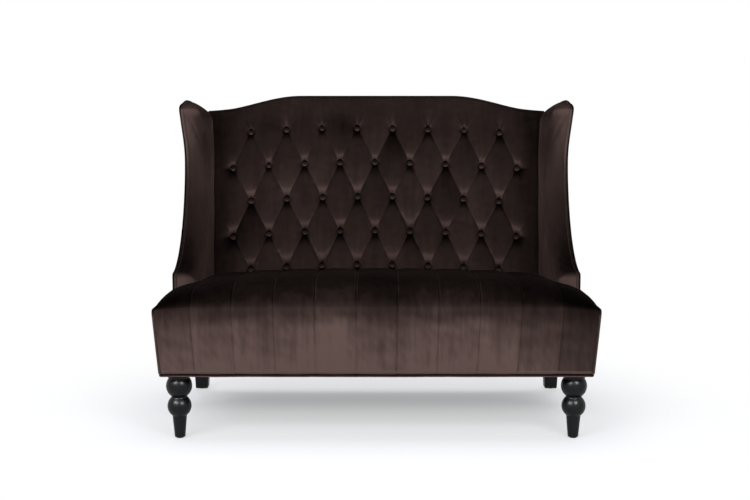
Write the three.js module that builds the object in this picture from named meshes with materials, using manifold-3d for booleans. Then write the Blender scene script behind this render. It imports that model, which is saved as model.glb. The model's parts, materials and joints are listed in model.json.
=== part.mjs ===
// A high-back settee with wings: a sprung bench seat on turned front legs and raked rear legs, a
// camel-topped back tufted in long diamonds, and padded wings that sweep forward into low arms.
// Millimetres. +X is to the right, +Y to the rear and +Z up; the origin is on the floor, under the middle.
import * as THREE from "three";
import { mergeVertices } from "three/addons/utils/BufferGeometryUtils.js";
import Module from "manifold-3d";

const wasm = await Module();
wasm.setup();

// Overall sizes and the fit between neighbours
const depth = 735; // front of the seat to the rear of the back's top
const clearance = 0.3; // between pieces that touch
const looseFit = 1; // between soft pieces and what stands in them
const overrun = 20; // how far a cutting tool runs past what it cuts
const weldShare = 1e-6; // of the depth: points nearer than this are one point

// Seat
const seatHalfWidth = 645; // at the welt round the top, the widest place
const sideLean = 18; // how far the sides draw in from the welt to the foot
const baseHalfWidth = seatHalfWidth - sideLean;
const seatUnderside = 192; // floor to the underside of the base
const seatEdgeHeight = 390; // floor to the side edges of the top
const seatCrown = 80; // rise of the top's middle over its side edges
const crownRoll = 120; // depth over which the front rolls back into the crown
const seatBackGap = 2.5; // rear end of the seat's pad to the crests of the back's
const coverThickness = 10; // velvet with its wadding
const seatWeltDiameter = 9;
const seatWeltCorner = 14; // bend of the welt at the top front corner
const hemDiameter = 8;
const hemEase = 1; // how much wider than the hem itself its bends are
const hemBend = hemDiameter / 2 + hemEase;
const boxingThickness = 8;
const seamCount = 10;
const seamMargin = 109.5; // side of the seat to its outer seam
const seamPitch = (2 * (seatHalfWidth - seamMargin)) / (seamCount - 1);
const seamDepth = 5;
const seamShoulder = 14; // how far the pull of a seam reaches on each side
const crownWidthPower = 2.6; // how flat the crown stays across the seat
const crownEdgePower = 0.42; // how full the crown is near its side edges
const crownRearShare = 0.5; // crown left at the rear of the seat
const frontBulge = 5; // how far the front face swells between hem and top

// Seat frame and suspension
const railHeight = 100;
const railThickness = 25;
const dustThickness = 1.5;
const blockSize = 64; // corner blocks in front
const blockHeight = 60;
const rearBlockHeight = 30;
const rearBlockWidth = 76;
const rearBlockInset = 5; // rear of the block to the rear of the back's frame
const braceWidth = 30;
const braceHeight = 55;
const springCount = 7;
const springWire = 3.8;
const springWidth = 54;
const springGap = 12; // outer spring to the padding of the wing
const springHalfWaves = 16;
const springLap = 14; // how far a spring's end lies on its rail

// Back, in its own plane, which leans to the rear
const recline = THREE.MathUtils.degToRad(6);
const backHeight = 811; // underside of the base to the top of the back's middle
const camelRise = 51; // middle of the top over its sides
const camelFlat = 250; // half width of the level middle
const camelInset = 52; // outer face of a wing to where the curve has come down
const backPanelThickness = 5;
const postDepth = 32;
const postWidth = 32;
const webThickness = 2.5;
const webWidth = 50;
const webCount = 4;
const backFoamThickness = 40;
const tuftSeat = 12; // cover and foam left under a button
const tuftRise = 42; // crest of a diamond over the seat of a button
const dimpleDepth = 36; // how deep a button pulls the cover in
const dimpleReach = 19; // how far its pull carries
const facetShare = 0.5; // how flat the cover falls between the folds at a button
const foldDepth = 4; // between two diamonds, half way from button to button
const foldGather = 8; // how much deeper a fold is at its buttons
const foldFade = 30; // distance from a button over which that fades
const foldWidth = 6;
const tuftRowCount = 5;
const padTuck = 5; // foot of the back's pad under the side edges of the seat
const padFoot = (seatEdgeHeight - padTuck - seatUnderside) / Math.cos(recline);
const tuftFootMargin = 41; // foot of the pad to the lowest row of buttons
const tuftFirstRow = padFoot + tuftFootMargin;
const tuftTopMargin = 120; // highest row to the top of the back's middle
const tuftRowPitch = (backHeight - tuftTopMargin - tuftFirstRow) / (tuftRowCount - 1);
const tuftHalfCount = 4; // pitches from the middle to the last button of a long row
const tuftSideMargin = 63.3; // last button of a long row to the side of the pad
const topRoll = 22; // depth of the roll along the back's top edge
const topWrap = 14; // cover over the top rail
const buttonRadius = 11;
const buttonRim = 18; // rim of a button over its seat
const buttonCrest = 23;
const topRailHeight = 92;
const bottomRailHeight = 80;
const bottomRailDrop = 66; // foot of the back's pad to the foot of the rail
const bottomRailFoot = padFoot - bottomRailDrop;
const uprightOffset = 190;
const uprightWidth = 40;

// Wings, in side view, and the arms that they end in. A length is measured forwards from the foot of the
// back; a drop is measured down from the top of the ear, and a rise up from the seat.
const toeOut = 0.0375; // how far a wing turns outwards for each length forwards
const wingInset = 33; // widest place of the seat to a wing's outer face, over the middle of the seat
const wingPanelThickness = 6;
const wingPly = 18;
const wingPadThickness = 38; // padding between the ply and the sitter
const wingRoll = 46; // width of the roll along the free edge
const plyInset = 20; // free edge to the ply
const wingWeltDiameter = 8;
const wingRollRear = 10; // the same where the wing's top meets the back
const wingRollFade = 90; // depth over which it narrows to that
const wingRim = 3; // thickness of the padding at its edge
const armLength = 443;
const armRise = 88; // arm's top over the side edges of the seat
const armCorner = 28;
const sweepLength = 313; // where the arm's top turns up
const sweepRise = 115;
const waistLength = 223; // where the wing is narrowest
const waistDrop = 189;
const waistLowDrop = 309; // stiffness of the curve under and over the waist
const waistHighDrop = 119;
const earRise = 41; // ear's top over the top of the wing at the back
const earLength = 285;
const earDrop = 31;
const earUnderLength = 263;
const earUnderDrop = 79;
const earFaceDrop = 17; // where the ear turns back
const earShoulderLength = 269;
const earTopLength = 247;
const wingTopBend = 93; // where the wing's top starts to come down to the back

// Legs
const frontLegInset = 49.5; // leg's axis to the side of the base
const frontLegY = 60; // leg's axis behind the front face of the seat
const upperBall = 38;
const lowerBall = 35;
const ballTopShare = 0.645; // of the upper ball's radius: its middle to the collar
const neckRadius = 23; // between the two balls
const neckLength = 3.4;
const collarRadius = 33;
const collarHeight = 12;
const taperTopRadius = 21;
const taperNeckLength = 4.4; // lower ball to the taper
const footRadius = 15.5;
const footEase = 2.5; // rounding at the foot
const rearLegInset = 1; // side of the base to the leg
const rearLegTopWidth = 60;
const rearLegTopDepth = 48;
const rearLegFootWidth = 42;
const rearLegFootDepth = 41;
const rearLegTopInset = 2; // rear of the leg's top to the foot of the back
const rearLegRake = 46; // how far the foot stands behind the top
const rearLegChamfer = 4;
const glideRadius = 10;
const glideThickness = 3;
const glidePinRadius = 1.6;
const glidePinLength = 14;
const legBoltRadius = 4;
const legBoltInLeg = 30;
const legBoltCover = 4; // wood over the bolt in a rear corner block
const backBoltRadius = 4;
const backBoltLength = 52;
const backBoltHeadRadius = 8;
const backBoltHead = 5;
const backBoltRise = 62; // over the underside of the seat rails

// How finely round things are faceted
const legSides = 20;
const ballSteps = 6;
const boltSides = 12;
const weltSides = 6;
const buttonSides = 8;
const springSides = 4;

// Places that several pieces share
const frontY = -depth / 2;
const railFoot = seatUnderside + dustThickness;
const railTop = railFoot + railHeight;
const backFootY = depth / 2 - backHeight * Math.sin(recline);
const railHalfWidth = baseHalfWidth - boxingThickness - clearance;
const frontRailFront = frontY + frontBulge + coverThickness + clearance;
const frontRailRear = frontRailFront + railThickness;
const foamFoot = railTop + springWire + clearance;
const frameRear = -backPanelThickness - clearance;
const frameFront = frameRear - postDepth;
const webRear = frameFront - clearance;
const webFront = webRear - webThickness;
const rearRailRear = backPlaneY(frameFront, railFoot) - clearance;
const rearRailFront = rearRailRear - railThickness;
const backFoamRear = webFront - clearance;
const backFoamFront = backFoamRear - backFoamThickness;
const tuftRear = backFoamFront - clearance;
const coverRear = backPlaneY(tuftRear - tuftSeat - tuftRise, seatEdgeHeight) - seatBackGap;
const coverDepth = coverRear - frontY - frontBulge;
const wingHalfWidth = seatHalfWidth - wingInset;
const camelShoulder = wingHalfWidth - camelInset;
const wingPanelInner = wingHalfWidth - wingPanelThickness;
const wingPadOuter = wingPanelInner - clearance;
const plyOuter = wingPadOuter - clearance;
const plyInner = plyOuter - wingPly;
const wingPadInner = plyInner - wingPadThickness;
const toeAtRear = (toeOut * depth) / 2; // how far the wings have come in at the rear of the back
const backPadHalfWidth = wingPadInner - toeAtRear - clearance;
const tuftPitch = (backPadHalfWidth - tuftSideMargin) / tuftHalfCount;
const springReach = wingPadInner - toeAtRear - springGap - (springWidth + springWire) / 2;
const postOuter = plyInner - toeAtRear - clearance;
const trimmed = wingWeltDiameter + clearance; // free edge of a wing to its padding and its outer panel
const armReach = backFootY - armLength;
const armHeight = seatEdgeHeight + armRise;
const frontLegX = baseHalfWidth - frontLegInset;
const rearLegOuter = baseHalfWidth - rearLegInset;
const legBoltInBlock = rearBlockHeight - legBoltCover;

const group = new THREE.Group();
const back = new THREE.Group();
back.position.set(0, backFootY, seatUnderside);
back.rotation.x = -recline;
group.add(back);

// Materials
const velvet = finish(0x4a3836, 0.85);
const velvetTrim = finish(0x3f2f2d, 0.8);
const ebony = finish(0x16171a, 0.35);
const pine = finish(0xc9a26c, 0.7);
const birchPly = finish(0xd2b183, 0.7);
const foam = finish(0xe8dfae, 0.95);
const steel = finish(0x8b8d90, 0.4, 0.9);
const webbing = finish(0x2e2a26, 0.9);
const cambric = finish(0x1b1b1d, 0.95);
const nylon = finish(0x2a2a2c, 0.5);

function finish(color, roughness, metalness = 0) {
  return new THREE.MeshStandardMaterial({ color, roughness, metalness });
}

function add(parent, name, geometry, material) {
  const mesh = new THREE.Mesh(geometry, material);
  mesh.name = name;
  parent.add(mesh);
  return mesh;
}

// Adds a piece on the right and its mirror image on the left.
function addPair(parent, name, geometry, material) {
  add(parent, `right_${name}`, geometry, material);
  add(parent, `left_${name}`, geometry, material).scale.x = -1;
}

const clamp01 = (t) => THREE.MathUtils.clamp(t, 0, 1);
const lerp = THREE.MathUtils.lerp;

// Solids from rows of points

// A closed geometry from points and triangles, turned so that its faces point out.
function closedGeometry(points, triangles) {
  const [a, b, c] = [new THREE.Vector3(), new THREE.Vector3(), new THREE.Vector3()];
  let volume = 0;
  for (const [i, j, k] of triangles) {
    volume += a.fromArray(points[i]).dot(b.fromArray(points[j]).cross(c.fromArray(points[k])));
  }
  const turned = volume < 0 ? triangles.map(([i, j, k]) => [i, k, j]) : triangles;
  const geometry = new THREE.BufferGeometry();
  geometry.setAttribute("position", new THREE.Float32BufferAttribute(points.flat(), 3));
  geometry.setIndex(turned.flat());
  geometry.computeVertexNormals();
  return geometry;
}

// Two triangles for each square of a grid. keepFirst(row, column) picks the diagonal.
function gridTriangles(rows, keepFirst = () => true) {
  const across = rows[0].length;
  const triangles = [];
  for (let r = 0; r + 1 < rows.length; r++) {
    for (let c = 0; c + 1 < across; c++) {
      const [p, q] = [r * across + c, r * across + c + 1];
      const [s, t] = [p + across, q + across];
      if (keepFirst(r, c)) triangles.push([p, q, t], [p, t, s]);
      else triangles.push([p, q, s], [q, t, s]);
    }
  }
  return triangles;
}

// The indices round a grid's edge, in order.
function gridEdge(rows) {
  const [down, across] = [rows.length, rows[0].length];
  const edge = [];
  for (let c = 0; c < across - 1; c++) edge.push(c);
  for (let r = 0; r < down - 1; r++) edge.push(r * across + across - 1);
  for (let c = across - 1; c > 0; c--) edge.push((down - 1) * across + c);
  for (let r = down - 1; r > 0; r--) edge.push(r * across);
  return edge;
}

function strip(edge, offsetEdge) {
  return edge.flatMap((p, i) => {
    const next = (i + 1) % edge.length;
    const [q, s, t] = [edge[next], offsetEdge[i], offsetEdge[next]];
    return [
      [p, s, q],
      [q, s, t],
    ];
  });
}

// A shell between two grids with as many rows and columns.
function shellSolid(outer, inner) {
  const points = [...outer.flat(), ...inner.flat()];
  const skin = gridTriangles(outer);
  const shift = outer.flat().length;
  const lining = skin.map(([i, j, k]) => [i + shift, k + shift, j + shift]);
  const edge = gridEdge(outer);
  return closedGeometry(points, [...skin, ...lining, ...strip(edge, edge.map((i) => i + shift))]);
}

// A pad with a shaped face and a flat back: flatten(point) drops a point of the edge onto the back,
// and plane(point) gives its place in the back's plane.
function padSolid(face, flatten, plane, keepFirst) {
  const points = face.flat();
  const edge = gridEdge(face);
  const backEdge = edge.map((_, i) => points.length + i);
  const backPoints = edge.map((i) => flatten(points[i]));
  const contour = backPoints.map((p) => new THREE.Vector2(...plane(p)));
  const cap = THREE.ShapeUtils.triangulateShape(contour, []);
  const skin = gridTriangles(face, keepFirst);
  const side = strip(edge, backEdge);
  // The cap closes the strip, so it has to run against it.
  const capArea = cap.reduce((sum, corner) => sum + THREE.ShapeUtils.area(corner.map((i) => contour[i])), 0);
  const wound = THREE.ShapeUtils.area(contour) * capArea > 0;
  const lid = cap.map(([i, j, k]) => (wound ? [i, k, j] : [i, j, k]).map((n) => backEdge[n]));
  return closedGeometry([...points, ...backPoints], [...skin, ...side, ...lid]);
}

// Joining and cutting

function solid(geometry) {
  const bare = new THREE.BufferGeometry();
  const source = geometry.index ? geometry.toNonIndexed() : geometry;
  bare.setAttribute("position", source.getAttribute("position"));
  const merged = mergeVertices(bare, weldShare * depth);
  return new wasm.Manifold(
    new wasm.Mesh({
      numProp: 3,
      vertProperties: merged.attributes.position.array,
      triVerts: new Uint32Array(merged.index.array),
    }),
  );
}

function geometryOf(made) {
  const mesh = made.getMesh();
  const geometry = new THREE.BufferGeometry();
  geometry.setAttribute("position", new THREE.BufferAttribute(mesh.vertProperties, 3));
  geometry.setIndex(new THREE.BufferAttribute(mesh.triVerts, 1));
  geometry.computeVertexNormals();
  return geometry;
}

function cut(geometry, ...tools) {
  return geometryOf(tools.reduce((left, tool) => left.subtract(solid(tool)), solid(geometry)));
}

function join(...geometries) {
  return geometryOf(geometries.slice(1).reduce((sum, g) => sum.add(solid(g)), solid(geometries[0])));
}

// Plain forms

function block([x0, x1], [y0, y1], [z0, z1]) {
  const box = new THREE.BoxGeometry(x1 - x0, y1 - y0, z1 - z0);
  return box.translate((x0 + x1) / 2, (y0 + y1) / 2, (z0 + z1) / 2);
}

// A plate whose outline is given in side view, as points [y, z], from x0 to x1.
function sidePlate(outline, x0, x1) {
  const shape = new THREE.Shape(outline.map(([y, z]) => new THREE.Vector2(y, z)));
  const plate = new THREE.ExtrudeGeometry(shape, { depth: x1 - x0, bevelEnabled: false });
  // Its own x, y and z turn to +Y, +Z and +X.
  const turn = new THREE.Matrix4().set(0, 0, 1, 0, 1, 0, 0, 0, 0, 1, 0, 0, 0, 0, 0, 1);
  return plate.applyMatrix4(turn).translate(x0, 0, 0);
}

// A plate whose outline is given in front view, as points [x, z], from y1 forwards to y0.
function frontPlate(outline, y0, y1) {
  const shape = new THREE.Shape(outline.map(([x, z]) => new THREE.Vector2(x, z)));
  const plate = new THREE.ExtrudeGeometry(shape, { depth: y1 - y0, bevelEnabled: false });
  return plate.rotateX(Math.PI / 2).translate(0, y1, 0);
}

// A path that passes its stations at even shares, so that a tube along it has a ring at each of them.
class StationPath extends THREE.Curve {
  constructor(stations) {
    super();
    this.stations = stations;
  }

  getPointAt(share) {
    const place = share * (this.stations.length - 1);
    const before = Math.min(Math.floor(place), this.stations.length - 2);
    return this.stations[before].clone().lerp(this.stations[before + 1], place - before);
  }

  getTangentAt(share) {
    const last = this.stations.length - 1;
    const at = Math.round(share * last);
    const [before, after] = [Math.max(at - 1, 0), Math.min(at + 1, last)];
    return this.stations[after].clone().sub(this.stations[before]).normalize();
  }
}

function tube(stations, radius, sides) {
  const corners = Array.from({ length: sides }, (_, i) => {
    const turn = (2 * Math.PI * i) / sides;
    return new THREE.Vector2(radius * Math.cos(turn), radius * Math.sin(turn));
  });
  const sweep = { steps: stations.length - 1, extrudePath: new StationPath(stations), bevelEnabled: false };
  return new THREE.ExtrudeGeometry(new THREE.Shape(corners), sweep);
}

// Stations of a quarter bend about a centre, from one arm's end to the other's.
const bendShares = [0, 1 / 4, 1 / 2, 3 / 4, 1];
function bend(centre, from, to) {
  return bendShares.map((s) => {
    const turn = (s * Math.PI) / 2;
    return centre.clone().addScaledVector(from, Math.cos(turn)).addScaledVector(to, Math.sin(turn));
  });
}

// An upright cylinder that stands at z0.
function post(radius, height, x, y, z0) {
  const cylinder = new THREE.CylinderGeometry(radius, radius, height, boltSides);
  return cylinder.rotateX(Math.PI / 2).translate(x, y, z0 + height / 2);
}

// A turned piece: its profile, as points [radius, height], spun about the upright through x, y.
function turned(profile, sides, x, y) {
  const lathe = new THREE.LatheGeometry(profile.map(([r, z]) => new THREE.Vector2(r, z)), sides);
  return lathe.rotateX(Math.PI / 2).translate(x, y, 0);
}

// Shapes that neighbours share

// Half width of the seat at a height: its sides lean out from hem to welt.
function seatHalf(z) {
  return lerp(baseHalfWidth, seatHalfWidth, (z - seatUnderside) / (seatEdgeHeight - seatUnderside));
}

// World depth of a plane of the back, given by its place y in the back's own frame, at height z.
function backPlaneY(y, z) {
  return backFootY + (z - seatUnderside) * Math.tan(recline) + y / Math.cos(recline);
}

// Top edge of the back: level in the middle, then an ogee of straight pieces down to each side.
const camelSteps = 8;
function camelTop(x) {
  const steps = camelSteps * clamp01((Math.abs(x) - camelFlat) / (camelShoulder - camelFlat));
  const drop = (step) => (1 - Math.cos((Math.PI * step) / camelSteps)) / 2;
  return backHeight - camelRise * lerp(drop(Math.floor(steps)), drop(Math.ceil(steps)), steps % 1);
}

// Where the top edge bends, from the left end to the right one.
function camelStations(halfWidth) {
  const bends = [];
  for (let i = 0; i <= camelSteps; i++) bends.push(lerp(camelFlat, camelShoulder, i / camelSteps));
  const within = bends.filter((x) => x < halfWidth);
  return [-halfWidth, ...within.toReversed().map((x) => -x), ...within, halfWidth];
}

// The outline [x, z] of a plate of the back: square foot, camel top lowered by inset.
function camelOutline(halfWidth, foot, inset) {
  const top = camelStations(halfWidth).toReversed();
  return [[-halfWidth, foot], [halfWidth, foot], ...top.map((x) => [x, camelTop(x) - inset])];
}

// The wing's free edge in side view, from the foot of the arm over the ear to the back.
const wingTopRear = seatUnderside + (backHeight - camelRise) * Math.cos(recline);
const earTop = wingTopRear + earRise;
const ahead = (length) => backFootY - length;
const below = (drop) => earTop - drop;
const over = (rise) => seatEdgeHeight + rise;
const waist = [ahead(waistLength), below(waistDrop)];
const ear = [ahead(earLength), below(earDrop)];
const wingPath = new THREE.Path();
wingPath.moveTo(armReach, railTop);
wingPath.lineTo(armReach, armHeight - armCorner);
wingPath.quadraticCurveTo(armReach, armHeight, armReach + armCorner, armHeight);
wingPath.bezierCurveTo(ahead(sweepLength), over(sweepRise), waist[0], below(waistLowDrop), ...waist);
wingPath.bezierCurveTo(waist[0], below(waistHighDrop), ahead(earUnderLength), below(earUnderDrop), ...ear);
const earCorner = [ahead(earTopLength), earTop];
wingPath.bezierCurveTo(ear[0], below(earFaceDrop), ahead(earShoulderLength), earTop, ...earCorner);
wingPath.quadraticCurveTo(ahead(wingTopBend), earTop, backPlaneY(frameRear, wingTopRear), wingTopRear);

// Points [y, z] along the free edge, drawn in by inset and ended at a plane of the back: even steps up the
// front, then closer ones where the ear turns into the top.
const earShare = 0.86; // share of the free edge that is front, foot to ear
const frontStations = 34;
const topStationShares = [0.04, 0.1, 0.2, 0.32, 0.5, 0.75, 1];
function wingEdge(inset, rearPlane) {
  const up = Array.from({ length: frontStations + 1 }, (_, i) => (earShare * i) / frontStations);
  const over = topStationShares.map((s) => lerp(earShare, 1, s));
  const raw = [...up, ...over].map((s) => wingPath.getPointAt(s));
  const moved = raw.map((p, i) => {
    const [before, after] = [raw[Math.max(i - 1, 0)], raw[Math.min(i + 1, raw.length - 1)]];
    const along = after.clone().sub(before).normalize();
    return [p.x + along.y * inset, p.y - along.x * inset];
  });
  const kept = moved.filter(([y, z]) => y < backPlaneY(rearPlane, z));
  const [y0, z0] = kept[kept.length - 1];
  const [y1, z1] = moved[Math.min(kept.length, moved.length - 1)];
  const [gap0, gap1] = [backPlaneY(rearPlane, z0) - y0, backPlaneY(rearPlane, z1) - y1];
  const share = gap0 === gap1 ? 0 : clamp01(gap0 / (gap0 - gap1));
  const last = lerp(z0, z1, share);
  const end = [backPlaneY(rearPlane, last), last];
  return [...kept, end];
}

// The closed outline of a wing's plate, down to a foot at or under the top of the seat rail.
function wingOutline(inset, rearPlane, foot = railTop) {
  const edge = wingEdge(inset, rearPlane);
  return [[edge[0][0], foot], ...edge.slice(1), [backPlaneY(rearPlane, foot), foot]];
}

// Turns a wing piece out towards its front.
function toed(geometry) {
  const shear = new THREE.Matrix4().makeShear(0, 0, -toeOut, 0, 0, 0);
  return geometry.applyMatrix4(shear);
}

function distanceToLine([y, z], line) {
  let least = Infinity;
  for (let i = 0; i + 1 < line.length; i++) {
    const [ay, az] = line[i];
    const [dy, dz] = [line[i + 1][0] - ay, line[i + 1][1] - az];
    const t = clamp01(((y - ay) * dy + (z - az) * dz) / (dy * dy + dz * dz));
    least = Math.min(least, Math.hypot(y - ay - t * dy, z - az - t * dz));
  }
  return least;
}

// A quarter ellipse: 0 at the edge, 1 once the distance from it is a roll.
function rolled(distance, roll) {
  return Math.sqrt(1 - (1 - clamp01(distance / roll)) ** 2);
}

// The rounded body of a wing's padding, with its free edge drawn in by inset and its face moved by grow:
// a patch between the foot, the free edge's front, its top, and the plane of the back.
function wingPillow(inset, rearPlane, grow) {
  const edge = wingEdge(inset, rearPlane);
  const front = edge.slice(0, frontStations + 1);
  const top = edge.slice(frontStations).reverse();
  const [topRear, topFront, footFront] = [top[0], front[frontStations], front[0]];
  const footRear = [backPlaneY(rearPlane, railTop), railTop];
  const across = top.map(([y]) => (y - topRear[0]) / (topFront[0] - topRear[0]));
  const full = wingPadOuter - wingPadInner + grow;
  const face = front.map((frontPoint, i) => {
    const v = i / frontStations;
    const height = lerp(railTop, topRear[1], v);
    const rearPoint = [backPlaneY(rearPlane, height), height];
    return across.map((u, j) => {
      const [y, z] = [0, 1].map((k) => {
        const upward = lerp(lerp(footRear[k], footFront[k], u), top[j][k], v);
        const corners = lerp(lerp(footRear[k], topRear[k], v), lerp(footFront[k], topFront[k], v), u);
        return upward + lerp(rearPoint[k], frontPoint[k], u) - corners;
      });
      const fade = clamp01((backPlaneY(rearPlane, z) - y) / wingRollFade);
      const roll = lerp(wingRollRear, wingRoll, fade);
      const thickness = lerp(wingRim, full, rolled(distanceToLine([y, z], edge), roll));
      return [wingPadOuter - thickness, y, z];
    });
  });
  return padSolid(face, ([, y, z]) => [wingPadOuter, y, z], ([, y, z]) => [y, z]);
}

// The room that a wing takes up in the seat: upright, with the roll of its padding in plan.
const rollStations = 6;
function wingRoom() {
  const [inner, outer] = [wingPadInner - looseFit, wingHalfWidth + looseFit];
  const front = armReach - looseFit;
  const rim = wingPadOuter - wingRim - looseFit;
  const roll = Array.from({ length: rollStations + 1 }, (_, i) => {
    const turn = (Math.PI * i) / (2 * rollStations);
    const along = wingRoll + trimmed;
    return [lerp(inner, rim, 1 - Math.cos(turn)), front + along * (1 - Math.sin(turn))];
  });
  const plan = [[outer, depth / 2], [inner, depth / 2], ...roll, [outer, front]];
  const shape = new THREE.Shape(plan.map(([x, y]) => new THREE.Vector2(x, y)));
  const height = seatEdgeHeight + seatCrown + overrun - railTop;
  const room = new THREE.ExtrudeGeometry(shape, { depth: height, bevelEnabled: false });
  return toed(room.translate(0, 0, railTop - clearance));
}

// Legs

function ballArc(radius, height, fromHeight, toHeight) {
  const [from, to] = [fromHeight, toHeight].map((z) => Math.asin((z - height) / radius));
  return Array.from({ length: ballSteps + 1 }, (_, i) => {
    const turn = lerp(from, to, i / ballSteps);
    return [radius * Math.cos(turn), height + radius * Math.sin(turn)];
  });
}

function frontLeg(x, y) {
  const boltBore = legBoltRadius + clearance;
  const pinBore = glidePinRadius + clearance;
  const collarFoot = seatUnderside - collarHeight;
  const upperBallHeight = collarFoot - ballTopShare * upperBall;
  const upperNeck = upperBallHeight - Math.sqrt(upperBall ** 2 - neckRadius ** 2);
  const lowerNeck = upperNeck - neckLength;
  const lowerBallHeight = lowerNeck - Math.sqrt(lowerBall ** 2 - neckRadius ** 2);
  const taperMeet = lowerBallHeight - Math.sqrt(lowerBall ** 2 - taperTopRadius ** 2);
  return turned(
    [
      [0, glideThickness + glidePinLength],
      [pinBore, glideThickness + glidePinLength],
      [pinBore, glideThickness],
      [footRadius - footEase, glideThickness],
      [footRadius, glideThickness + footEase],
      [taperTopRadius, taperMeet - taperNeckLength],
      ...ballArc(lowerBall, lowerBallHeight, taperMeet, lowerNeck),
      ...ballArc(upperBall, upperBallHeight, upperNeck, collarFoot),
      [collarRadius, collarFoot],
      [collarRadius, seatUnderside],
      [boltBore, seatUnderside],
      [boltBore, seatUnderside - legBoltInLeg],
      [0, seatUnderside - legBoltInLeg],
    ],
    legSides,
    x,
    y,
  );
}

// The eight corners, anticlockwise from above, of a chamfered rectangle.
function chamfered([x0, x1], [y0, y1], z) {
  const c = rearLegChamfer;
  const corners = [[x0 + c, y0], [x1 - c, y0], [x1, y0 + c], [x1, y1 - c]];
  const rest = [[x1 - c, y1], [x0 + c, y1], [x0, y1 - c], [x0, y0 + c]];
  return [...corners, ...rest].map(([x, y]) => [x, y, z]);
}

const rearLegTopRear = backFootY - rearLegTopInset;
const rearLegFootRear = rearLegTopRear + rearLegRake;
const rearLegBoltX = rearLegOuter - rearLegTopWidth / 2;
const rearLegBoltY = rearLegTopRear - rearLegTopDepth / 2;
const rearGlideX = rearLegOuter - rearLegFootWidth / 2;
const rearGlideY = rearLegFootRear - rearLegFootDepth / 2;

function rearLeg() {
  const topX = [rearLegOuter - rearLegTopWidth, rearLegOuter];
  const footX = [rearLegOuter - rearLegFootWidth, rearLegOuter];
  const top = chamfered(topX, [rearLegTopRear - rearLegTopDepth, rearLegTopRear], seatUnderside);
  const foot = chamfered(footX, [rearLegFootRear - rearLegFootDepth, rearLegFootRear], glideThickness);
  const sides = top.map((_, i) => [i, (i + 1) % top.length]);
  const triangles = sides.flatMap(([i, j]) => [[i, j, j + top.length], [i, j + top.length, i + top.length]]);
  for (let i = 1; i + 1 < top.length; i++) {
    triangles.push([0, i + 1, i], [top.length, top.length + i, top.length + i + 1]);
  }
  const boltFoot = seatUnderside - legBoltInLeg;
  const boltLength = legBoltInLeg + overrun;
  const boltBore = post(legBoltRadius + clearance, boltLength, rearLegBoltX, rearLegBoltY, boltFoot);
  const pinRadius = glidePinRadius + clearance;
  const pinLength = glidePinLength + overrun;
  const pinBore = post(pinRadius, pinLength, rearGlideX, rearGlideY, glideThickness - overrun);
  return cut(closedGeometry([...top, ...foot], triangles), boltBore, pinBore);
}

function glide(x, y) {
  const pinTop = glideThickness + glidePinLength - clearance;
  const rim = glideThickness / 2;
  return turned(
    [
      [0, 0],
      [glideRadius, 0],
      [glideRadius, rim],
      [glideRadius - rim, glideThickness],
      [glidePinRadius, glideThickness],
      [glidePinRadius, pinTop],
      [0, pinTop],
    ],
    legSides,
    x,
    y,
  );
}

function legBolt(x, y) {
  const foot = seatUnderside - legBoltInLeg + clearance;
  return post(legBoltRadius, legBoltInLeg + legBoltInBlock - clearance, x, y, foot);
}

const frontLegDepth = frontY + frontLegY;
addPair(group, "front_leg", frontLeg(frontLegX, frontLegDepth), ebony);
addPair(group, "rear_leg", rearLeg(), ebony);
addPair(group, "front_leg_bolt", legBolt(frontLegX, frontLegDepth), steel);
addPair(group, "rear_leg_bolt", legBolt(rearLegBoltX, rearLegBoltY), steel);
addPair(group, "front_glide", glide(frontLegX, frontLegDepth), nylon);
addPair(group, "rear_glide", glide(rearGlideX, rearGlideY), nylon);

// Seat frame

const railZ = [railFoot, railTop];
const backBoltX = postOuter - postWidth / 2;
const backBoltZ = railFoot + backBoltRise;
const backBoltSeat = rearRailFront - backBoltHead;
const sideRailInner = railHalfWidth - railThickness;
const frontRail = block([-railHalfWidth, railHalfWidth], [frontRailFront, frontRailRear], railZ);
const sideRail = block([sideRailInner, railHalfWidth], [frontRailRear, rearRailFront], railZ);
add(group, "front_seat_rail", frontRail, pine);
add(group, "rear_seat_rail", rearSeatRail(), pine);
addPair(group, "seat_rail", sideRail, pine);

// A bolt along +Y from the seat's inside, through the rear rail, into a back post.
function backBolt() {
  const shank = post(backBoltRadius, backBoltLength + backBoltHead, 0, 0, 0);
  const head = post(backBoltHeadRadius, backBoltHead, 0, 0, 0);
  return join(shank, head).rotateX(-Math.PI / 2).translate(backBoltX, backBoltSeat, backBoltZ);
}

function backBoltBore() {
  const bore = post(backBoltRadius + clearance, backBoltLength + backBoltHead + clearance, 0, 0, 0);
  return bore.rotateX(-Math.PI / 2).translate(backBoltX, backBoltSeat, backBoltZ);
}

function mirrored(geometry) {
  const copy = geometry.clone().scale(-1, 1, 1);
  const flipped = copy.index ? copy.toNonIndexed() : copy;
  const at = flipped.getAttribute("position");
  for (let i = 0; i < at.count; i += 3) {
    const [second, third] = [i + 1, i + 2].map((n) => [at.getX(n), at.getY(n), at.getZ(n)]);
    at.setXYZ(i + 1, ...third);
    at.setXYZ(i + 2, ...second);
  }
  return flipped;
}

function rearSeatRail() {
  const rail = block([-railHalfWidth, railHalfWidth], [rearRailFront, rearRailRear], railZ);
  return cut(rail, backBoltBore(), mirrored(backBoltBore()));
}

addPair(group, "back_bolt", backBolt(), steel);

function frontBlock() {
  const inside = sideRailInner - blockSize;
  const corner = [
    [sideRailInner, frontRailRear],
    [sideRailInner, frontRailRear + blockSize],
    [sideRailInner - blockSize / 2, frontRailRear + blockSize],
    [inside, frontRailRear + blockSize / 2],
    [inside, frontRailRear],
  ];
  const shape = new THREE.Shape(corner.map(([x, y]) => new THREE.Vector2(x, y)));
  const made = new THREE.ExtrudeGeometry(shape, { depth: blockHeight, bevelEnabled: false });
  return cut(made.translate(0, 0, railFoot), legBoltBore(frontLegX, frontLegDepth));
}

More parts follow.
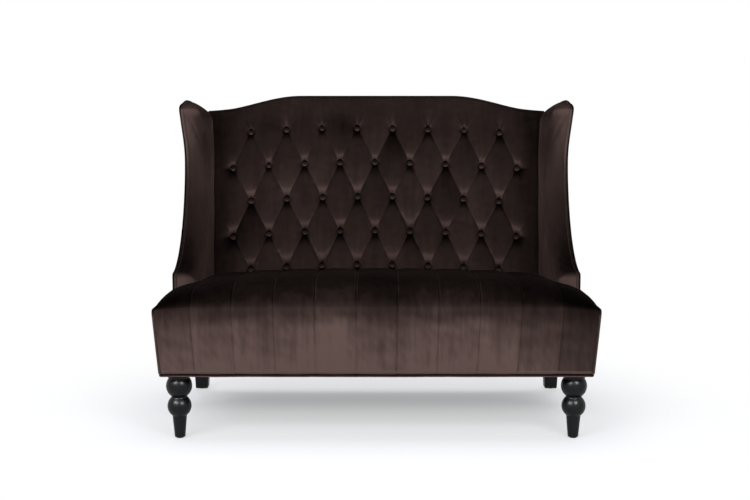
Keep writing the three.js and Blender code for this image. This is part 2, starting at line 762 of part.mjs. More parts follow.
function legBoltBore(x, y) {
  const length = legBoltInBlock + overrun;
  return post(legBoltRadius + clearance, length + clearance, x, y, seatUnderside - overrun);
}

function rearBlock() {
  const x = [railHalfWidth - rearBlockWidth, railHalfWidth];
  const y = [rearRailRear, backPlaneY(frameRear, railFoot) - rearBlockInset];
  const made = block(x, y, [railFoot, railFoot + rearBlockHeight]);
  return cut(made, legBoltBore(rearLegBoltX, rearLegBoltY));
}

addPair(group, "front_corner_block", frontBlock(), pine);
addPair(group, "rear_corner_block", rearBlock(), pine);

function centreBrace() {
  const foot = railFoot + (railHeight - braceHeight) / 2;
  const z = [foot, foot + braceHeight];
  return block([-braceWidth / 2, braceWidth / 2], [frontRailRear, rearRailFront], z);
}
add(group, "centre_brace", centreBrace(), pine);

// A sinuous spring lies flat on the front and rear rails.
const springStepsPerTurn = 3;
function spring(x) {
  const from = frontRailRear - springLap;
  const to = rearRailFront + springLap;
  const z = railTop + springWire / 2;
  const turns = Array.from({ length: springHalfWaves + 1 }, (_, i) => {
    const side = i % 2 ? 1 : -1;
    return new THREE.Vector3(x + (side * springWidth) / 2, lerp(from, to, i / springHalfWaves), z);
  });
  const wave = new THREE.CatmullRomCurve3(turns, false, "centripetal");
  return tube(wave.getPoints(springHalfWaves * springStepsPerTurn), springWire / 2, springSides);
}

for (let i = 0; i < springCount; i++) {
  const x = lerp(-springReach, springReach, i / (springCount - 1));
  add(group, `seat_spring_${i + 1}`, spring(x), steel);
}

function dustCover() {
  const half = baseHalfWidth - hemDiameter - looseFit;
  const front = frontY + frontBulge + hemDiameter + looseFit;
  const rear = backPlaneY(-backPanelThickness, seatUnderside) - clearance;
  const sheet = block([-half, half], [front, rear], [seatUnderside, railFoot]);
  const bores = [legBoltBore(frontLegX, frontLegDepth), legBoltBore(rearLegBoltX, rearLegBoltY)];
  return cut(sheet, ...bores, ...bores.map(mirrored));
}
add(group, "dust_cover", dustCover(), cambric);

// Seat pad

// Stations across the seat: each seam, its shoulders, and the crest between two seams.
function seatStations() {
  const stations = [];
  for (let i = 0; i < seamCount; i++) {
    const x = (i - (seamCount - 1) / 2) * seamPitch;
    stations.push([x - seamShoulder, 0.25], [x, 1], [x + seamShoulder, 0.25]);
    if (i + 1 < seamCount) stations.push([x + seamPitch / 2, 0]);
  }
  const half = seatHalfWidth - seatWeltDiameter;
  const outer = ((seamCount - 1) / 2) * seamPitch;
  const end = endShares.map((s) => [lerp(outer, half, s), 0]);
  const all = [...end.toReversed().map(([x, pull]) => [-x, pull]), ...stations, ...end];
  return all.map(([x, pull]) => [x / half, pull]);
}

// Rows of the seat's skin, each as [depth from the front, height, share of the crown, turn to the top].
const frontRowShares = [0, 0.25, 0.5, 0.75, 0.95];
const rollShares = [0.2, 0.4, 0.62, 0.82, 1];
const topRowShares = [0.3, 0.65, 1];
const endShares = [0.5, 0.8, 0.93, 1]; // of the way from the outer seam to the side of the top
function seatRows(foot) {
  const height = seatEdgeHeight - foot;
  const front = frontRowShares.map((s) => [-frontBulge * Math.sin(Math.PI * s), foot + s * height, 0, 0]);
  const roll = rollShares.map((s) => {
    const turn = (s * Math.PI) / 2;
    return [crownRoll * (1 - Math.cos(turn)), seatEdgeHeight, Math.sin(turn), turn];
  });
  const top = topRowShares.map((s) => {
    const share = lerp(1, crownRearShare, s * s);
    return [lerp(crownRoll, coverDepth, s), seatEdgeHeight, share, Math.PI / 2];
  });
  return [...front, ...roll, ...top];
}

function crownShare(s) {
  return Math.max(0, 1 - Math.abs(s) ** crownWidthPower) ** crownEdgePower;
}

// The seat's skin, sunk by a thickness all over and pulled in at the seams by a depth.
function seatSkin(foot, sunk, pullDepth, narrower) {
  return seatRows(foot).map(([back, height, share, turn]) =>
    seatStations().map(([s, pull]) => {
      const edge = seatHalf(height) - seatWeltDiameter - narrower;
      const z = height + seatCrown * crownShare(s) * share;
      const inwards = sunk + pull * pullDepth;
      const y = frontY + frontBulge + back + inwards * Math.cos(turn);
      return [s * edge, y, z - inwards * Math.sin(turn)];
    }),
  );
}

const coverFoot = seatUnderside + hemDiameter + clearance;
const room = wingRoom();
const seatCover = shellSolid(seatSkin(coverFoot, 0, seamDepth, 0), seatSkin(coverFoot, coverThickness, 0, 0));
add(group, "seat_cover", cut(seatCover, room, mirrored(room)), velvet);

// The foam fills the cover: a coarse crown over a flat foot.
const foamColumns = 12;
const foamTopShares = [0.5, 1];
function seatFoam() {
  const sunk = coverThickness + clearance;
  const half = seatHalf(foamFoot) - boxingThickness - clearance;
  const front = frontY + frontBulge + sunk;
  const level = seatEdgeHeight - sunk;
  const roll = rollShares.map((s) => {
    const turn = (s * Math.PI) / 2;
    return [front + crownRoll * (1 - Math.cos(turn)), Math.sin(turn)];
  });
  const rear = coverRear - frontBulge;
  const top = foamTopShares.map((s) => [lerp(front + crownRoll, rear, s), lerp(1, crownRearShare, s * s)]);
  const face = [[front, 0], ...roll, ...top].map(([y, share]) =>
    Array.from({ length: foamColumns + 1 }, (_, i) => {
      const s = lerp(-1, 1, i / foamColumns);
      return [s * half, y, level + (seatCrown - seamDepth) * crownShare(s) * share];
    }),
  );
  const made = padSolid(face, ([x, y]) => [x, y, foamFoot], ([x, y]) => [x, y]);
  return cut(made, room, mirrored(room));
}
add(group, "seat_foam", seatFoam(), foam);

// Seat sides, welts and hem

const weltRadius = seatWeltDiameter / 2;
const weltTop = seatEdgeHeight - weltRadius;
const weltFront = frontY + frontBulge + weltRadius;
const boxingFront = weltFront + weltRadius + clearance;

function sideBoxing() {
  const top = weltTop - weltRadius - clearance;
  const lean = (seatHalfWidth - baseHalfWidth) / (seatEdgeHeight - seatUnderside);
  const rear = (z) => backPlaneY(frameRear, z);
  const eased = seatWeltCorner - weltRadius;
  const front = [[boxingFront + eased, top], [boxingFront, top - eased], [boxingFront, coverFoot]];
  const outline = [...front, [rear(coverFoot), coverFoot], [rear(top), top]];
  const plate = sidePlate(outline, baseHalfWidth - boxingThickness, baseHalfWidth);
  const leaning = new THREE.Matrix4().makeShear(0, 0, 0, 0, lean, 0);
  const side = plate.translate(0, 0, -seatUnderside).applyMatrix4(leaning).translate(0, 0, seatUnderside);
  // Behind the seat's cover the boxing turns in, to close the strip between the welt and the wing.
  const ledgeFront = coverRear + clearance;
  const ledgeX = [wingHalfWidth + looseFit, seatHalf(top) - boxingThickness / 2];
  const ledge = block(ledgeX, [ledgeFront, rear(top - boxingThickness)], [top - boxingThickness, top]);
  return join(side, ledge);
}

// What the cover's front panel takes up, so that the boxing ends behind it.
function frontCoverTool() {
  const behind = frontY + frontBulge + coverThickness + clearance;
  const half = seatHalfWidth - seatWeltDiameter + clearance;
  return block([0, half], [frontY - overrun, behind], [seatUnderside - overrun, seatEdgeHeight + overrun]);
}
addPair(group, "side_boxing", cut(sideBoxing(), frontCoverTool()), velvet);

// The welt climbs the front corner of the seat, bends, and runs back along the side of the top.
function seatWelt() {
  const lean = (p) => p.setX(seatHalf(p.z) - weltRadius + clearance);
  const rear = backPlaneY(frameRear, weltTop) - clearance;
  const [up, forward] = [new THREE.Vector3(0, 0, seatWeltCorner), new THREE.Vector3(0, -seatWeltCorner, 0)];
  const centre = new THREE.Vector3(0, weltFront + seatWeltCorner, weltTop - seatWeltCorner);
  const foot = new THREE.Vector3(0, weltFront, coverFoot);
  const stations = [foot, ...bend(centre, forward, up), new THREE.Vector3(0, rear, weltTop)];
  return tube(stations.map(lean), weltRadius, weltSides);
}
addPair(group, "seat_welt", seatWelt(), velvetTrim);

// The hem runs round the foot of the base, from the rear along one side, the front and the other side.
function hem() {
  const r = hemDiameter / 2;
  const [x, y, z] = [baseHalfWidth - r, frontY + frontBulge + r, seatUnderside + r];
  const rear = backPlaneY(frameRear, z) - clearance;
  const [right, forward] = [new THREE.Vector3(hemBend, 0, 0), new THREE.Vector3(0, -hemBend, 0)];
  const rightCentre = new THREE.Vector3(x - hemBend, y + hemBend, z);
  const leftCentre = new THREE.Vector3(hemBend - x, y + hemBend, z);
  const rightRun = [...bend(rightCentre, forward, right), new THREE.Vector3(x, rear, z)];
  const left = right.clone().negate();
  const leftRun = [new THREE.Vector3(-x, rear, z), ...bend(leftCentre, left, forward)];
  return tube([...leftRun, ...rightRun], r, weltSides);
}
add(group, "base_hem", hem(), velvetTrim);

// Back frame

const topRailFoot = backHeight - camelRise - topWrap - clearance - topRailHeight;
const bottomRailTop = bottomRailFoot + bottomRailHeight;
const frameY = [frameFront, frameRear];

function backPost() {
  const foot = rearBlockHeight + dustThickness + clearance;
  const lowered = foot + postDepth * Math.tan(recline);
  const made = block([postOuter - postWidth, postOuter], frameY, [lowered, topRailFoot - clearance]);
  const toBack = new THREE.Matrix4().makeRotationX(recline);
  const bore = backBoltBore().translate(0, -backFootY, -seatUnderside).applyMatrix4(toBack);
  return cut(made, bore);
}
addPair(back, "back_post", backPost(), pine);

function topRail() {
  const outline = camelOutline(postOuter, topRailFoot, topWrap + clearance);
  return frontPlate(outline, frameFront, frameRear);
}
add(back, "back_top_rail", topRail(), birchPly);

const railEnd = postOuter - postWidth - clearance;
add(back, "back_bottom_rail", block([-railEnd, railEnd], frameY, [bottomRailFoot, bottomRailTop]), pine);
const uprightZ = [bottomRailTop + clearance, topRailFoot - clearance];
const uprightX = [uprightOffset - uprightWidth / 2, uprightOffset + uprightWidth / 2];
addPair(back, "back_upright", block(uprightX, frameY, uprightZ), pine);

for (let i = 0; i < webCount; i++) {
  const middle = lerp(bottomRailTop, topRailFoot, (i + 1) / (webCount + 1));
  const z = [middle - webWidth / 2, middle + webWidth / 2];
  add(back, `back_web_${i + 1}`, block([-postOuter, postOuter], [webFront, webRear], z), webbing);
}

// Back pads

const foamOutline = camelOutline(backPadHalfWidth, padFoot, topWrap + clearance);
add(back, "back_foam", frontPlate(foamOutline, backFoamFront, backFoamRear), foam);

// Places [x, z] of the buttons, in short rows and long ones by turns.
const buttonPlaces = [];
for (let row = 0; row < tuftRowCount; row++) {
  const count = 2 * tuftHalfCount + (row % 2);
  for (let i = 0; i < count; i++) {
    buttonPlaces.push([(i - (count - 1) / 2) * tuftPitch, tuftFirstRow + row * tuftRowPitch]);
  }
}

// Height of the tufted face over the seats of its buttons. Buttons sit where two families of diagonal folds
// cross, and the folds fade out past the outer buttons.
const tuftTopRow = tuftFirstRow + (tuftRowCount - 1) * tuftRowPitch;
const foldPitch = 1 / Math.hypot(1 / tuftPitch, 1 / (2 * tuftRowPitch));
function tuftHeight(x, z) {
  const near = Math.min(...buttonPlaces.map((place) => Math.hypot(x - place[0], z - place[1])));
  const across = THREE.MathUtils.clamp(x / tuftPitch, -tuftHalfCount, tuftHalfCount);
  const up = THREE.MathUtils.clamp((z - tuftFirstRow) / tuftRowPitch, 0, tuftRowCount - 1);
  const turns = [across + up / 2, across - up / 2].map((n) => THREE.MathUtils.euclideanModulo(n, 1));
  const [first, second] = turns.map((turn) => foldPitch * Math.abs(turn - 1 / 2));
  const beyondSide = (Math.abs(x) - tuftHalfCount * tuftPitch) / tuftSideMargin;
  const beyondTop = (z - tuftTopRow) / (camelTop(x) - topRoll - tuftTopRow);
  const beyondFoot = (tuftFirstRow - z) / (tuftFirstRow - padFoot);
  const out = clamp01(Math.max(beyondSide, beyondTop, beyondFoot));
  const reach = lerp(near, first + second, facetShare * (1 - out));
  const dimple = dimpleDepth * Math.exp(-reach / dimpleReach);
  const deep = foldDepth + foldGather * Math.exp(-near / foldFade);
  const fold = deep * Math.exp(-Math.min(first, second) / foldWidth) * (1 - out);
  const [p, q] = turns.map((turn) => Math.sin(Math.PI * Math.abs(turn - 1 / 2)));
  const pillow = (tuftRise - dimpleDepth) * lerp(p * q, 1, out);
  return Math.max(0, dimpleDepth + pillow - dimple - fold);
}

// The tufted face in the back's own frame: columns and rows that close up towards the buttons, so that each
// fold runs through corners of the grid, and the top roll.
const cellShares = [0, 0.14, 0.38, 0.62, 0.86];
const topShares = [0.15, 0.45, 0.8, 0.9, 0.96, 1];
const footShares = [0, 0.6];
const sideShares = [0.5, 1];
function tuftedFace() {
  const steps = (count) => Array.from({ length: count }, (_, i) => cellShares.map((s) => i + s)).flat();
  const last = tuftHalfCount * tuftPitch;
  const columns = [...steps(4 * tuftHalfCount), 4 * tuftHalfCount].map((i) => (i * tuftPitch) / 2 - last);
  const margins = sideShares.map((s) => lerp(last, backPadHalfWidth, s));
  const xs = [...margins.toReversed().map((x) => -x), ...columns, ...margins];
  const foot = footShares.map((s) => lerp(padFoot, tuftFirstRow, s));
  const rows = [...steps(tuftRowCount - 1), tuftRowCount - 1].map((i) => tuftFirstRow + i * tuftRowPitch);
  const level = [...foot, ...rows].map((z) => xs.map((x) => [x, z]));
  const over = topShares.map((s) => xs.map((x) => [x, lerp(tuftTopRow, camelTop(x), s)]));
  return [...level, ...over].map((row) =>
    row.map(([x, z]) => {
      const height = (tuftSeat + tuftHeight(x, z)) * rolled(camelTop(x) - z, topRoll);
      return [x, tuftRear - Math.max(height, wingRim), z];
    }),
  );
}

// A square of the face is split along the diagonal that follows a fold.
function tuftDiagonal(face) {
  // How far the middle of a diagonal lies off the tufted surface.
  const off = ([x0, y0, z0], [x1, y1, z1]) => {
    const height = tuftSeat + tuftHeight((x0 + x1) / 2, (z0 + z1) / 2);
    return Math.abs((y0 + y1) / 2 - tuftRear + height);
  };
  return (r, c) => off(face[r][c], face[r + 1][c + 1]) < off(face[r][c + 1], face[r + 1][c]);
}

// The cover's lip over the top of the frame, between two depths.
function topLip(halfWidth, y0, y1) {
  const xs = camelStations(halfWidth);
  const face = [y0, y1].map((y) => xs.map((x) => [x, y, camelTop(x)]));
  const lining = [y0, y1].map((y) => xs.map((x) => [x, y, camelTop(x) - topWrap]));
  return shellSolid(face, lining);
}

function button(x, z) {
  const profile = [
    [0, buttonCrest],
    [buttonRadius, buttonRim],
    [buttonRadius, -tuftSeat / 2],
    [0, -tuftSeat / 2],
  ];
  const outline = profile.map(([r, h]) => new THREE.Vector2(r, -h));
  const made = new THREE.LatheGeometry(outline, buttonSides);
  return made.translate(x, tuftRear - tuftSeat, z);
}

function tuftedCover() {
  const face = tuftedFace();
  const pad = padSolid(face, ([x, , z]) => [x, tuftRear, z], ([x, , z]) => [x, z], tuftDiagonal(face));
  const overFoam = topLip(backPadHalfWidth, tuftRear - wingRim, webFront);
  const half = wingHalfWidth - wingWeltDiameter - toeAtRear - looseFit;
  const overFrame = topLip(half, webFront, frameRear);
  return join(pad, overFoam, overFrame, ...buttonPlaces.map(([x, z]) => button(x, z)));
}
add(back, "tufted_back_cover", tuftedCover(), velvet);

function outerBackPanel() {
  const half = wingHalfWidth - toeAtRear;
  const ledge = (seatEdgeHeight - seatUnderside) / Math.cos(recline);
  const right = [[baseHalfWidth, 0], [seatHalfWidth, ledge], [half, ledge]];
  const left = right.toReversed().map(([x, z]) => [-x, z]);
  const top = camelOutline(half, 0, 0).slice(2);
  return frontPlate([...right, ...top, ...left], -backPanelThickness, 0);
}
add(back, "outer_back_panel", outerBackPanel(), velvet);

// Wings

function wingFrame() {
  return toed(sidePlate(wingOutline(plyInset, frameRear), plyInner, plyOuter));
}
addPair(group, "wing_frame", wingFrame(), birchPly);

function wingPad() {
  const pillow = wingPillow(trimmed, webFront - clearance, 0);
  const room = wingOutline(plyInset - clearance, frameRear, railTop - overrun);
  return toed(cut(pillow, sidePlate(room, plyInner - clearance, wingPadOuter + overrun)));
}
addPair(group, "wing_pad", wingPad(), velvet);

function wingPanel() {
  return toed(sidePlate(wingOutline(trimmed, frameRear), wingPanelInner, wingHalfWidth));
}
addPair(group, "wing_outer_panel", wingPanel(), velvet);

function wingWelt() {
  const radius = wingWeltDiameter / 2;
  const line = wingEdge(radius, frameRear - clearance);
  const stations = line.map(([y, z]) => new THREE.Vector3(wingHalfWidth - radius, y, z));
  return toed(tube(stations, radius - clearance, weltSides));
}
addPair(group, "wing_welt", wingWelt(), velvetTrim);

export default group;
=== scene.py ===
import json
import math

import bpy
import numpy as np
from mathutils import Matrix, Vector

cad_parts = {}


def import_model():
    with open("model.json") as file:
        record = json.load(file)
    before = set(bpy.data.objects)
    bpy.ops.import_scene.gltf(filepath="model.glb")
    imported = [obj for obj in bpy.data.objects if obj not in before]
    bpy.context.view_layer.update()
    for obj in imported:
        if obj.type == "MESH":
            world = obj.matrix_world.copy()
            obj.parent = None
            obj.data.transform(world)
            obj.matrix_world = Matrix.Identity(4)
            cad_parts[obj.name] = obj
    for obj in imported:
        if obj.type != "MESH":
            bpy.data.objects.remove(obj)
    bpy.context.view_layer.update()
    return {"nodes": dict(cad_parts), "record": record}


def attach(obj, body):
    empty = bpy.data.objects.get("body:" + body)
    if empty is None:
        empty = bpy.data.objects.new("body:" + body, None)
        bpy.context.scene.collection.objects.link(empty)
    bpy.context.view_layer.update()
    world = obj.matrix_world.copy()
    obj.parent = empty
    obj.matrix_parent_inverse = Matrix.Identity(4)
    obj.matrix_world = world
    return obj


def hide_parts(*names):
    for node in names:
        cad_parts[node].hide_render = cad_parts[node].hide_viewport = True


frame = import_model()
scene = bpy.context.scene

# Sizes that the solids have too. The seat:
DEPTH = 0.735
FRONT = -DEPTH / 2
SEAT_UNDER = 0.192
SEAT_EDGE = 0.390
SEAT_CROWN = 0.080
BASE_HALF = 0.627
SEAT_HALF = 0.645
CROWN_ROLL = 0.120
CREST_REAR_SHARE = 0.50
CROWN_WIDTH_POWER = 2.6
CROWN_EDGE_POWER = 0.42
PAD_REAR = 0.1655
FRONT_BULGE = 0.005
WELT = 0.009
HEM = 0.008
SEAM_COUNT = 10
SEAM_PITCH = 0.119
RAIL_TOP = 0.2935
LEG_FOOT = 0.0031
GAP = 0.0003
# The back, across its thickness in its own leaning plane:
RECLINE = math.radians(6)
BACK_HEIGHT = 0.811
BACK_FOOT = DEPTH / 2 - BACK_HEIGHT * math.sin(RECLINE)
CAMEL_RISE = 0.051
CAMEL_FLAT = 0.250
CAMEL_SHOULDER = 0.560
TOP_ROLL = 0.022
PAD_FOOT = 0.194
PAD_HALF = 0.5395
PANEL = 0.005
PANEL_INSIDE = -PANEL - GAP
FRAME_FRONT = -0.0375
# The tufting, with rows of 2 * TUFT_HALF and one more button in turn:
TUFT_PITCH = 0.118
TUFT_ROW = 0.114
TUFT_ROWS = 5
TUFT_HALF = 4
TUFT_FIRST = 0.235
TUFT_TOP = TUFT_FIRST + (TUFT_ROWS - 1) * TUFT_ROW
TUFT_REAR = -0.0807
TUFT_SEAT = 0.020
DIMPLE_DEPTH = 0.029
DIMPLE_REACH = 0.0105
PILLOW_RISE = 0.005
BUTTON_SEAT = 0.0095
# The wings:
WING_HALF = 0.612
WING_PANEL = 0.006
WING_PAD_INNER = 0.5494
WING_ROLL = 0.046
WING_ROLL_REAR = 0.010
WING_ROLL_FADE = 0.090
WING_WELT = 0.008
WELT_INSET = 0.0045
WING_JOIN = WING_HALF - WING_PANEL - WELT_INSET
WING_TOP_REAR = SEAT_UNDER + (BACK_HEIGHT - CAMEL_RISE) * math.cos(RECLINE)
OUTER_BULGE = 0.002
TOE_OUT = 0.0375
ARM_REACH = -0.160
EAR_SHARE = 0.86
EAR_TOP = 0.989
EAR_ROLL = 0.024
EAR_LEAN = 0.020
EAR_FLARE = 0.003

# Only on the cloth, and how its filling is simulated
OUTER_EDGE = 0.0135
HOLE_DEPTH = 0.006
HOLE_REACH = 0.0125
FOLD_DEPTH = 0.0018
FOLD_WIDTH = 0.0045
FOLD_AT_BUTTON = 0.006
FOLD_FADE = 0.020
COVER_CLOTH = 0.008
SIMULATED_FRAMES = 20
PRESSURE = 4.0
PAD_SWELL = 0.0035
SEAT_SWELL = 0.0022
# Seat panels darker (over 0) or lighter, left to right, and painted light over each button row
PANEL_DARKENING = (0.15, 0.08, -0.03, 0.0, -0.06, 0.08, 0.03, 0.04, 0.03, 0.15, 0.34)
TUFT_PAINTED_LIGHT = (0.46, 0.44, 0.36, 0.16, -0.25)

# Floor and camera
FLOOR_LIFT = 0.30
FLOOR_HALF = 14
SENSOR = 36
FOCAL_PIXELS = 1124.6
PICTURE_WIDTH = 750
CAMERA_PLACE = (-0.0045, -3.531, 0.927)
CAMERA_DOWN = 6.594

RIGHT, REAR, UP = np.eye(3)
rng = np.random.default_rng(7)


def smoothstep(t):
    t = np.clip(t, 0, 1)
    return t * t * (3 - 2 * t)


def ease(value, start, span):
    """From 0 at start to 1 at the end of the span, which may run downwards."""
    return smoothstep((value - start) / span)


def bell(distance, reach, power=2):
    return np.exp(-((distance / reach) ** power))


def rolled(distance, roll):
    """Height of a quarter round over the distance from its edge, as a share of 1."""
    return np.sqrt(1 - (1 - np.clip(distance / roll, 0, 1)) ** 2)


def ripple(x, z, seed, scale, octaves=3):
    """Smooth seeded noise from a few waves, about -1 to 1, over points x, z in metres."""
    waves = np.random.default_rng(seed)
    each, peak = 5, 1.2
    total = np.zeros(np.broadcast(x, z).shape)
    for octave in range(octaves):
        for _ in range(each):
            turn, phase = waves.uniform(0, math.tau, 2)
            k = math.tau / scale * 2**octave * waves.uniform(0.7, 1.3)
            total += np.sin(k * (x * math.cos(turn) + z * math.sin(turn)) + phase) / 2**octave
    return total / (each * peak)


# Materials


def material(name):
    made = bpy.data.materials.new(name)
    made.use_nodes = True
    return made, made.node_tree, made.node_tree.nodes["Principled BSDF"]


def feed(tree, socket, value):
    """Sets a node's input, or links it where the value is another node's output."""
    if isinstance(value, bpy.types.NodeSocket):
        tree.links.new(value, socket)
    else:
        socket.default_value = value


def set_up(tree, made, settings):
    for key, value in settings.items():
        if key in made.inputs:
            feed(tree, made.inputs[key], value)
        else:
            setattr(made, key, value)
    return made


def node(tree, kind, **settings):
    return set_up(tree, tree.nodes.new(kind), settings)


def ramp(tree, source, stops):
    made = node(tree, "ShaderNodeValToRGB", Fac=source)
    elements = made.color_ramp.elements
    while len(elements) < len(stops):
        elements.new(0.5)
    for element, (at, value) in zip(elements, stops):
        element.position = at
        element.color = (*value, 1) if isinstance(value, tuple) else (value, value, value, 1)
    return made.outputs["Color"]


def math_node(tree, operation, *values):
    made = node(tree, "ShaderNodeMath", operation=operation)
    for socket, value in zip(made.inputs, values):
        feed(tree, socket, value)
    return made.outputs[0]


def noise(tree, scale, stretch, detail, rough):
    """Noise over the object's own coordinates, each axis scaled by its stretch."""
    place = node(tree, "ShaderNodeTexCoord").outputs["Object"]
    moved = node(tree, "ShaderNodeMapping", Scale=stretch, Vector=place).outputs[0]
    grain = {"Scale": scale, "Detail": detail, "Roughness": rough}
    return node(tree, "ShaderNodeTexNoise", Vector=moved, **grain).outputs["Fac"]


def axis(tree, vector, name):
    return node(tree, "ShaderNodeSeparateXYZ", Vector=vector).outputs[name]


def bump(tree, height, strength, distance):
    slope = {"Strength": strength, "Distance": distance}
    return node(tree, "ShaderNodeBump", Height=height, **slope).outputs[0]


def multiplied(tree, share, first, second):
    """The first colour multiplied by the second, to the share given."""
    kind = {"data_type": "RGBA", "blend_type": "MULTIPLY"}
    return node(tree, "ShaderNodeMix", **kind, Factor=share, A=first, B=second).outputs["Result"]


def mix_shaders(tree, share, first, second, out):
    mixed = node(tree, "ShaderNodeMixShader")
    for socket, value in zip(mixed.inputs, (share, first.outputs[0], second.outputs[0])):
        feed(tree, socket, value)
    feed(tree, out.inputs["Surface"], mixed.outputs[0])


# Painted shade over the pile's tilt: faces that tip up are painted dark, upright ones in the
# middle, and faces that tip down are painted light
PAINTED_TILT_SHADE = [(0.08, 0.010), (0.25, 0.058), (0.375, 0.19), (0.458, 0.33)]
PAINTED_TILT_SHADE += [(0.5, 0.46), (0.604, 0.94), (0.75, 1.0)]
PAINTED_TILT_SHADE_SPAN = 2.4
PILE_ROUGH = 0.55
PLUM = (0.105, 0.068, 0.060)


def velvet(name, lit, shade_level, wear):
    """Velvet with painted shade: faces tipping up painted dark, those facing out or down lighter.
    """
    made, tree, shader = material(name)
    tilt = axis(tree, node(tree, "ShaderNodeNewGeometry").outputs["Normal"], "Z")
    shade_and_lay = node(tree, "ShaderNodeAttribute", attribute_name="shade_and_lay").outputs["Fac"]
    patches = noise(tree, 4.5, (1, 1, 0.8), 2.0, PILE_ROUGH)
    streaks = noise(tree, 42.0, (1, 1, 0.10), 3.0, PILE_ROUGH)
    crush = noise(tree, 80.0, (1, 1, 0.30), 3.0, PILE_ROUGH)
    pile = noise(tree, 1500.0, (1, 1, 1), 2.0, PILE_ROUGH)
    # Patches, streaks and crush marks shift the painted shade, so the same tilt looks different.
    wanders = ((patches, 0.26), (streaks, 0.32), (crush, 0.14))
    middle = sum(amount for _, amount in wanders) / 2
    facing = math_node(tree, "ADD", tilt, math_node(tree, "ADD", shade_and_lay, shade_level))
    for source, amount in wanders:
        facing = math_node(tree, "MULTIPLY_ADD", source, wear * amount, facing)
    centred = 0.5 + wear * middle / PAINTED_TILT_SHADE_SPAN
    share = math_node(tree, "MULTIPLY_ADD", facing, -1 / PAINTED_TILT_SHADE_SPAN, centred)
    colour = multiplied(tree, 1.0, (*lit, 1), ramp(tree, share, PAINTED_TILT_SHADE))
    colour = multiplied(tree, 0.5, colour, ramp(tree, pile, [(0.3, 0.72), (0.7, 1.0)]))
    relief = bump(tree, math_node(tree, "MULTIPLY_ADD", crush, 3.0, pile), 0.2, 0.0005)
    set_up(tree, shader, {"Base Color": colour, "Roughness": 0.95, "Normal": relief})
    set_up(tree, shader, {"Specular IOR Level": 0.0, "Sheen Weight": 0.02})
    set_up(tree, shader, {"Sheen Roughness": 0.4, "Sheen Tint": (0.62, 0.48, 0.44, 1)})
    return made


def lacquer(name, colour):
    made, tree, shader = material(name)
    grain = noise(tree, 160.0, (1, 1, 0.08), 5.0, 0.5)
    dull = tuple(0.6 * c for c in colour)
    shades = ramp(tree, grain, [(0.35, dull), (0.65, colour)])
    rough = ramp(tree, grain, [(0.3, 0.36), (0.7, 0.44)])
    relief = bump(tree, grain, 0.05, 0.0003)
    set_up(tree, shader, {"Base Color": shades, "Roughness": rough, "Normal": relief})
    set_up(tree, shader, {"Specular IOR Level": 0.03, "Coat Weight": 0.28, "Coat Roughness": 0.3})
    return made


def grained(name, light, dark, stretch, scale, rough, metal=0.0):
    """Bare wood, foam, webbing, cloth or metal: two colours mixed by noise, with a light bump."""
    made, tree, shader = material(name)
    found = noise(tree, scale, stretch, 6.0, 0.6)
    shades, relief = ramp(tree, found, [(0.3, dark), (0.7, light)]), bump(tree, found, 0.2, 0.0005)
    set_up(tree, shader, {"Base Color": shades, "Normal": relief})
    set_up(tree, shader, {"Roughness": rough, "Metallic": metal})
    return made


# Copies of one velvet at painted shade levels: the back, the outer panels and the buttons darker,
# the seat and the welts' trim lighter.
VELVET = velvet("velvet", PLUM, 0.0, 0.55)
PANEL_VELVET = velvet("panel_velvet", PLUM, 0.02, 0.28)
SEAT_VELVET = velvet("seat_velvet", PLUM, -0.20, 1.25)
BACK_VELVET = velvet("back_velvet", PLUM, 0.15, 0.8)
BUTTON_VELVET = velvet("button_velvet", PLUM, 0.24, 0.3)
TRIM = velvet("velvet_trim", (0.105, 0.070, 0.062), -0.08, 0.4)
EBONY = lacquer("ebony_lacquer", (0.0050, 0.0052, 0.0058))
EVEN = (1, 1, 1)
# By material slot: name, light and dark colour, stretch, scale, roughness and metal of the grain
INNER = {
    "pine": ("pine", (0.62, 0.43, 0.24), (0.42, 0.26, 0.13), (1, 8, 8), 9.0, 0.65),
    "plywood": ("plywood", (0.66, 0.48, 0.29), (0.48, 0.32, 0.17), (1, 1, 9), 12.0, 0.6),
    "foam": ("foam", (0.78, 0.71, 0.45), (0.62, 0.55, 0.33), EVEN, 240.0, 0.95),
    "steel": ("zinc_steel", (0.62, 0.62, 0.63), (0.42, 0.42, 0.43), (1, 6, 1), 120.0, 0.38, 1.0),
    "webbing": ("webbing", (0.035, 0.03, 0.027), (0.015, 0.013, 0.012), (4, 1, 40), 60.0, 0.9),
    "dust_cloth": ("dust_cloth", (0.018, 0.018, 0.019), (0.008, 0.008, 0.009), EVEN, 900.0, 0.95),
    "nylon": ("nylon", (0.03, 0.03, 0.032), (0.02, 0.02, 0.022), EVEN, 300.0, 0.5),
}
INNER = {slot: grained(*values) for slot, values in INNER.items()}


# Mesh helpers


def added(name, data):
    obj = bpy.data.objects.new(name, data)
    scene.collection.objects.link(obj)
    return obj


def mesh_of(name, points, faces):
    mesh = bpy.data.meshes.new(name)
    mesh.from_pydata([tuple(p) for p in points], [], faces)
    return mesh


def evaluated_mesh(obj):
    """The object's mesh with its modifiers applied."""
    graph = bpy.context.evaluated_depsgraph_get()
    return bpy.data.meshes.new_from_object(obj.evaluated_get(graph))


def paint_shade_and_lay(obj, shade_and_lay):
    """Painted shade and the pile's direction per point: over 0 it shows darker, under 0 lighter.

    A value for half the points is that of a shell's front, and its back gets the same."""
    layer = obj.data.attributes.new("shade_and_lay", "FLOAT", "POINT")
    layer.data.foreach_set("value", np.resize(np.asarray(shade_and_lay, np.float32), len(layer.data)))


def piece(name, shape, shade, *replaces):
    """A shape, as points and faces, made an object in place of the solids named."""
    mesh = mesh_of(name, *shape)
    mesh.validate()
    mesh.shade_smooth()
    mesh.materials.append(shade)
    obj = added(name, mesh)
    bpy.context.view_layer.update()
    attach(obj, "root")
    if replaces:
        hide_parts(*replaces)
    return obj


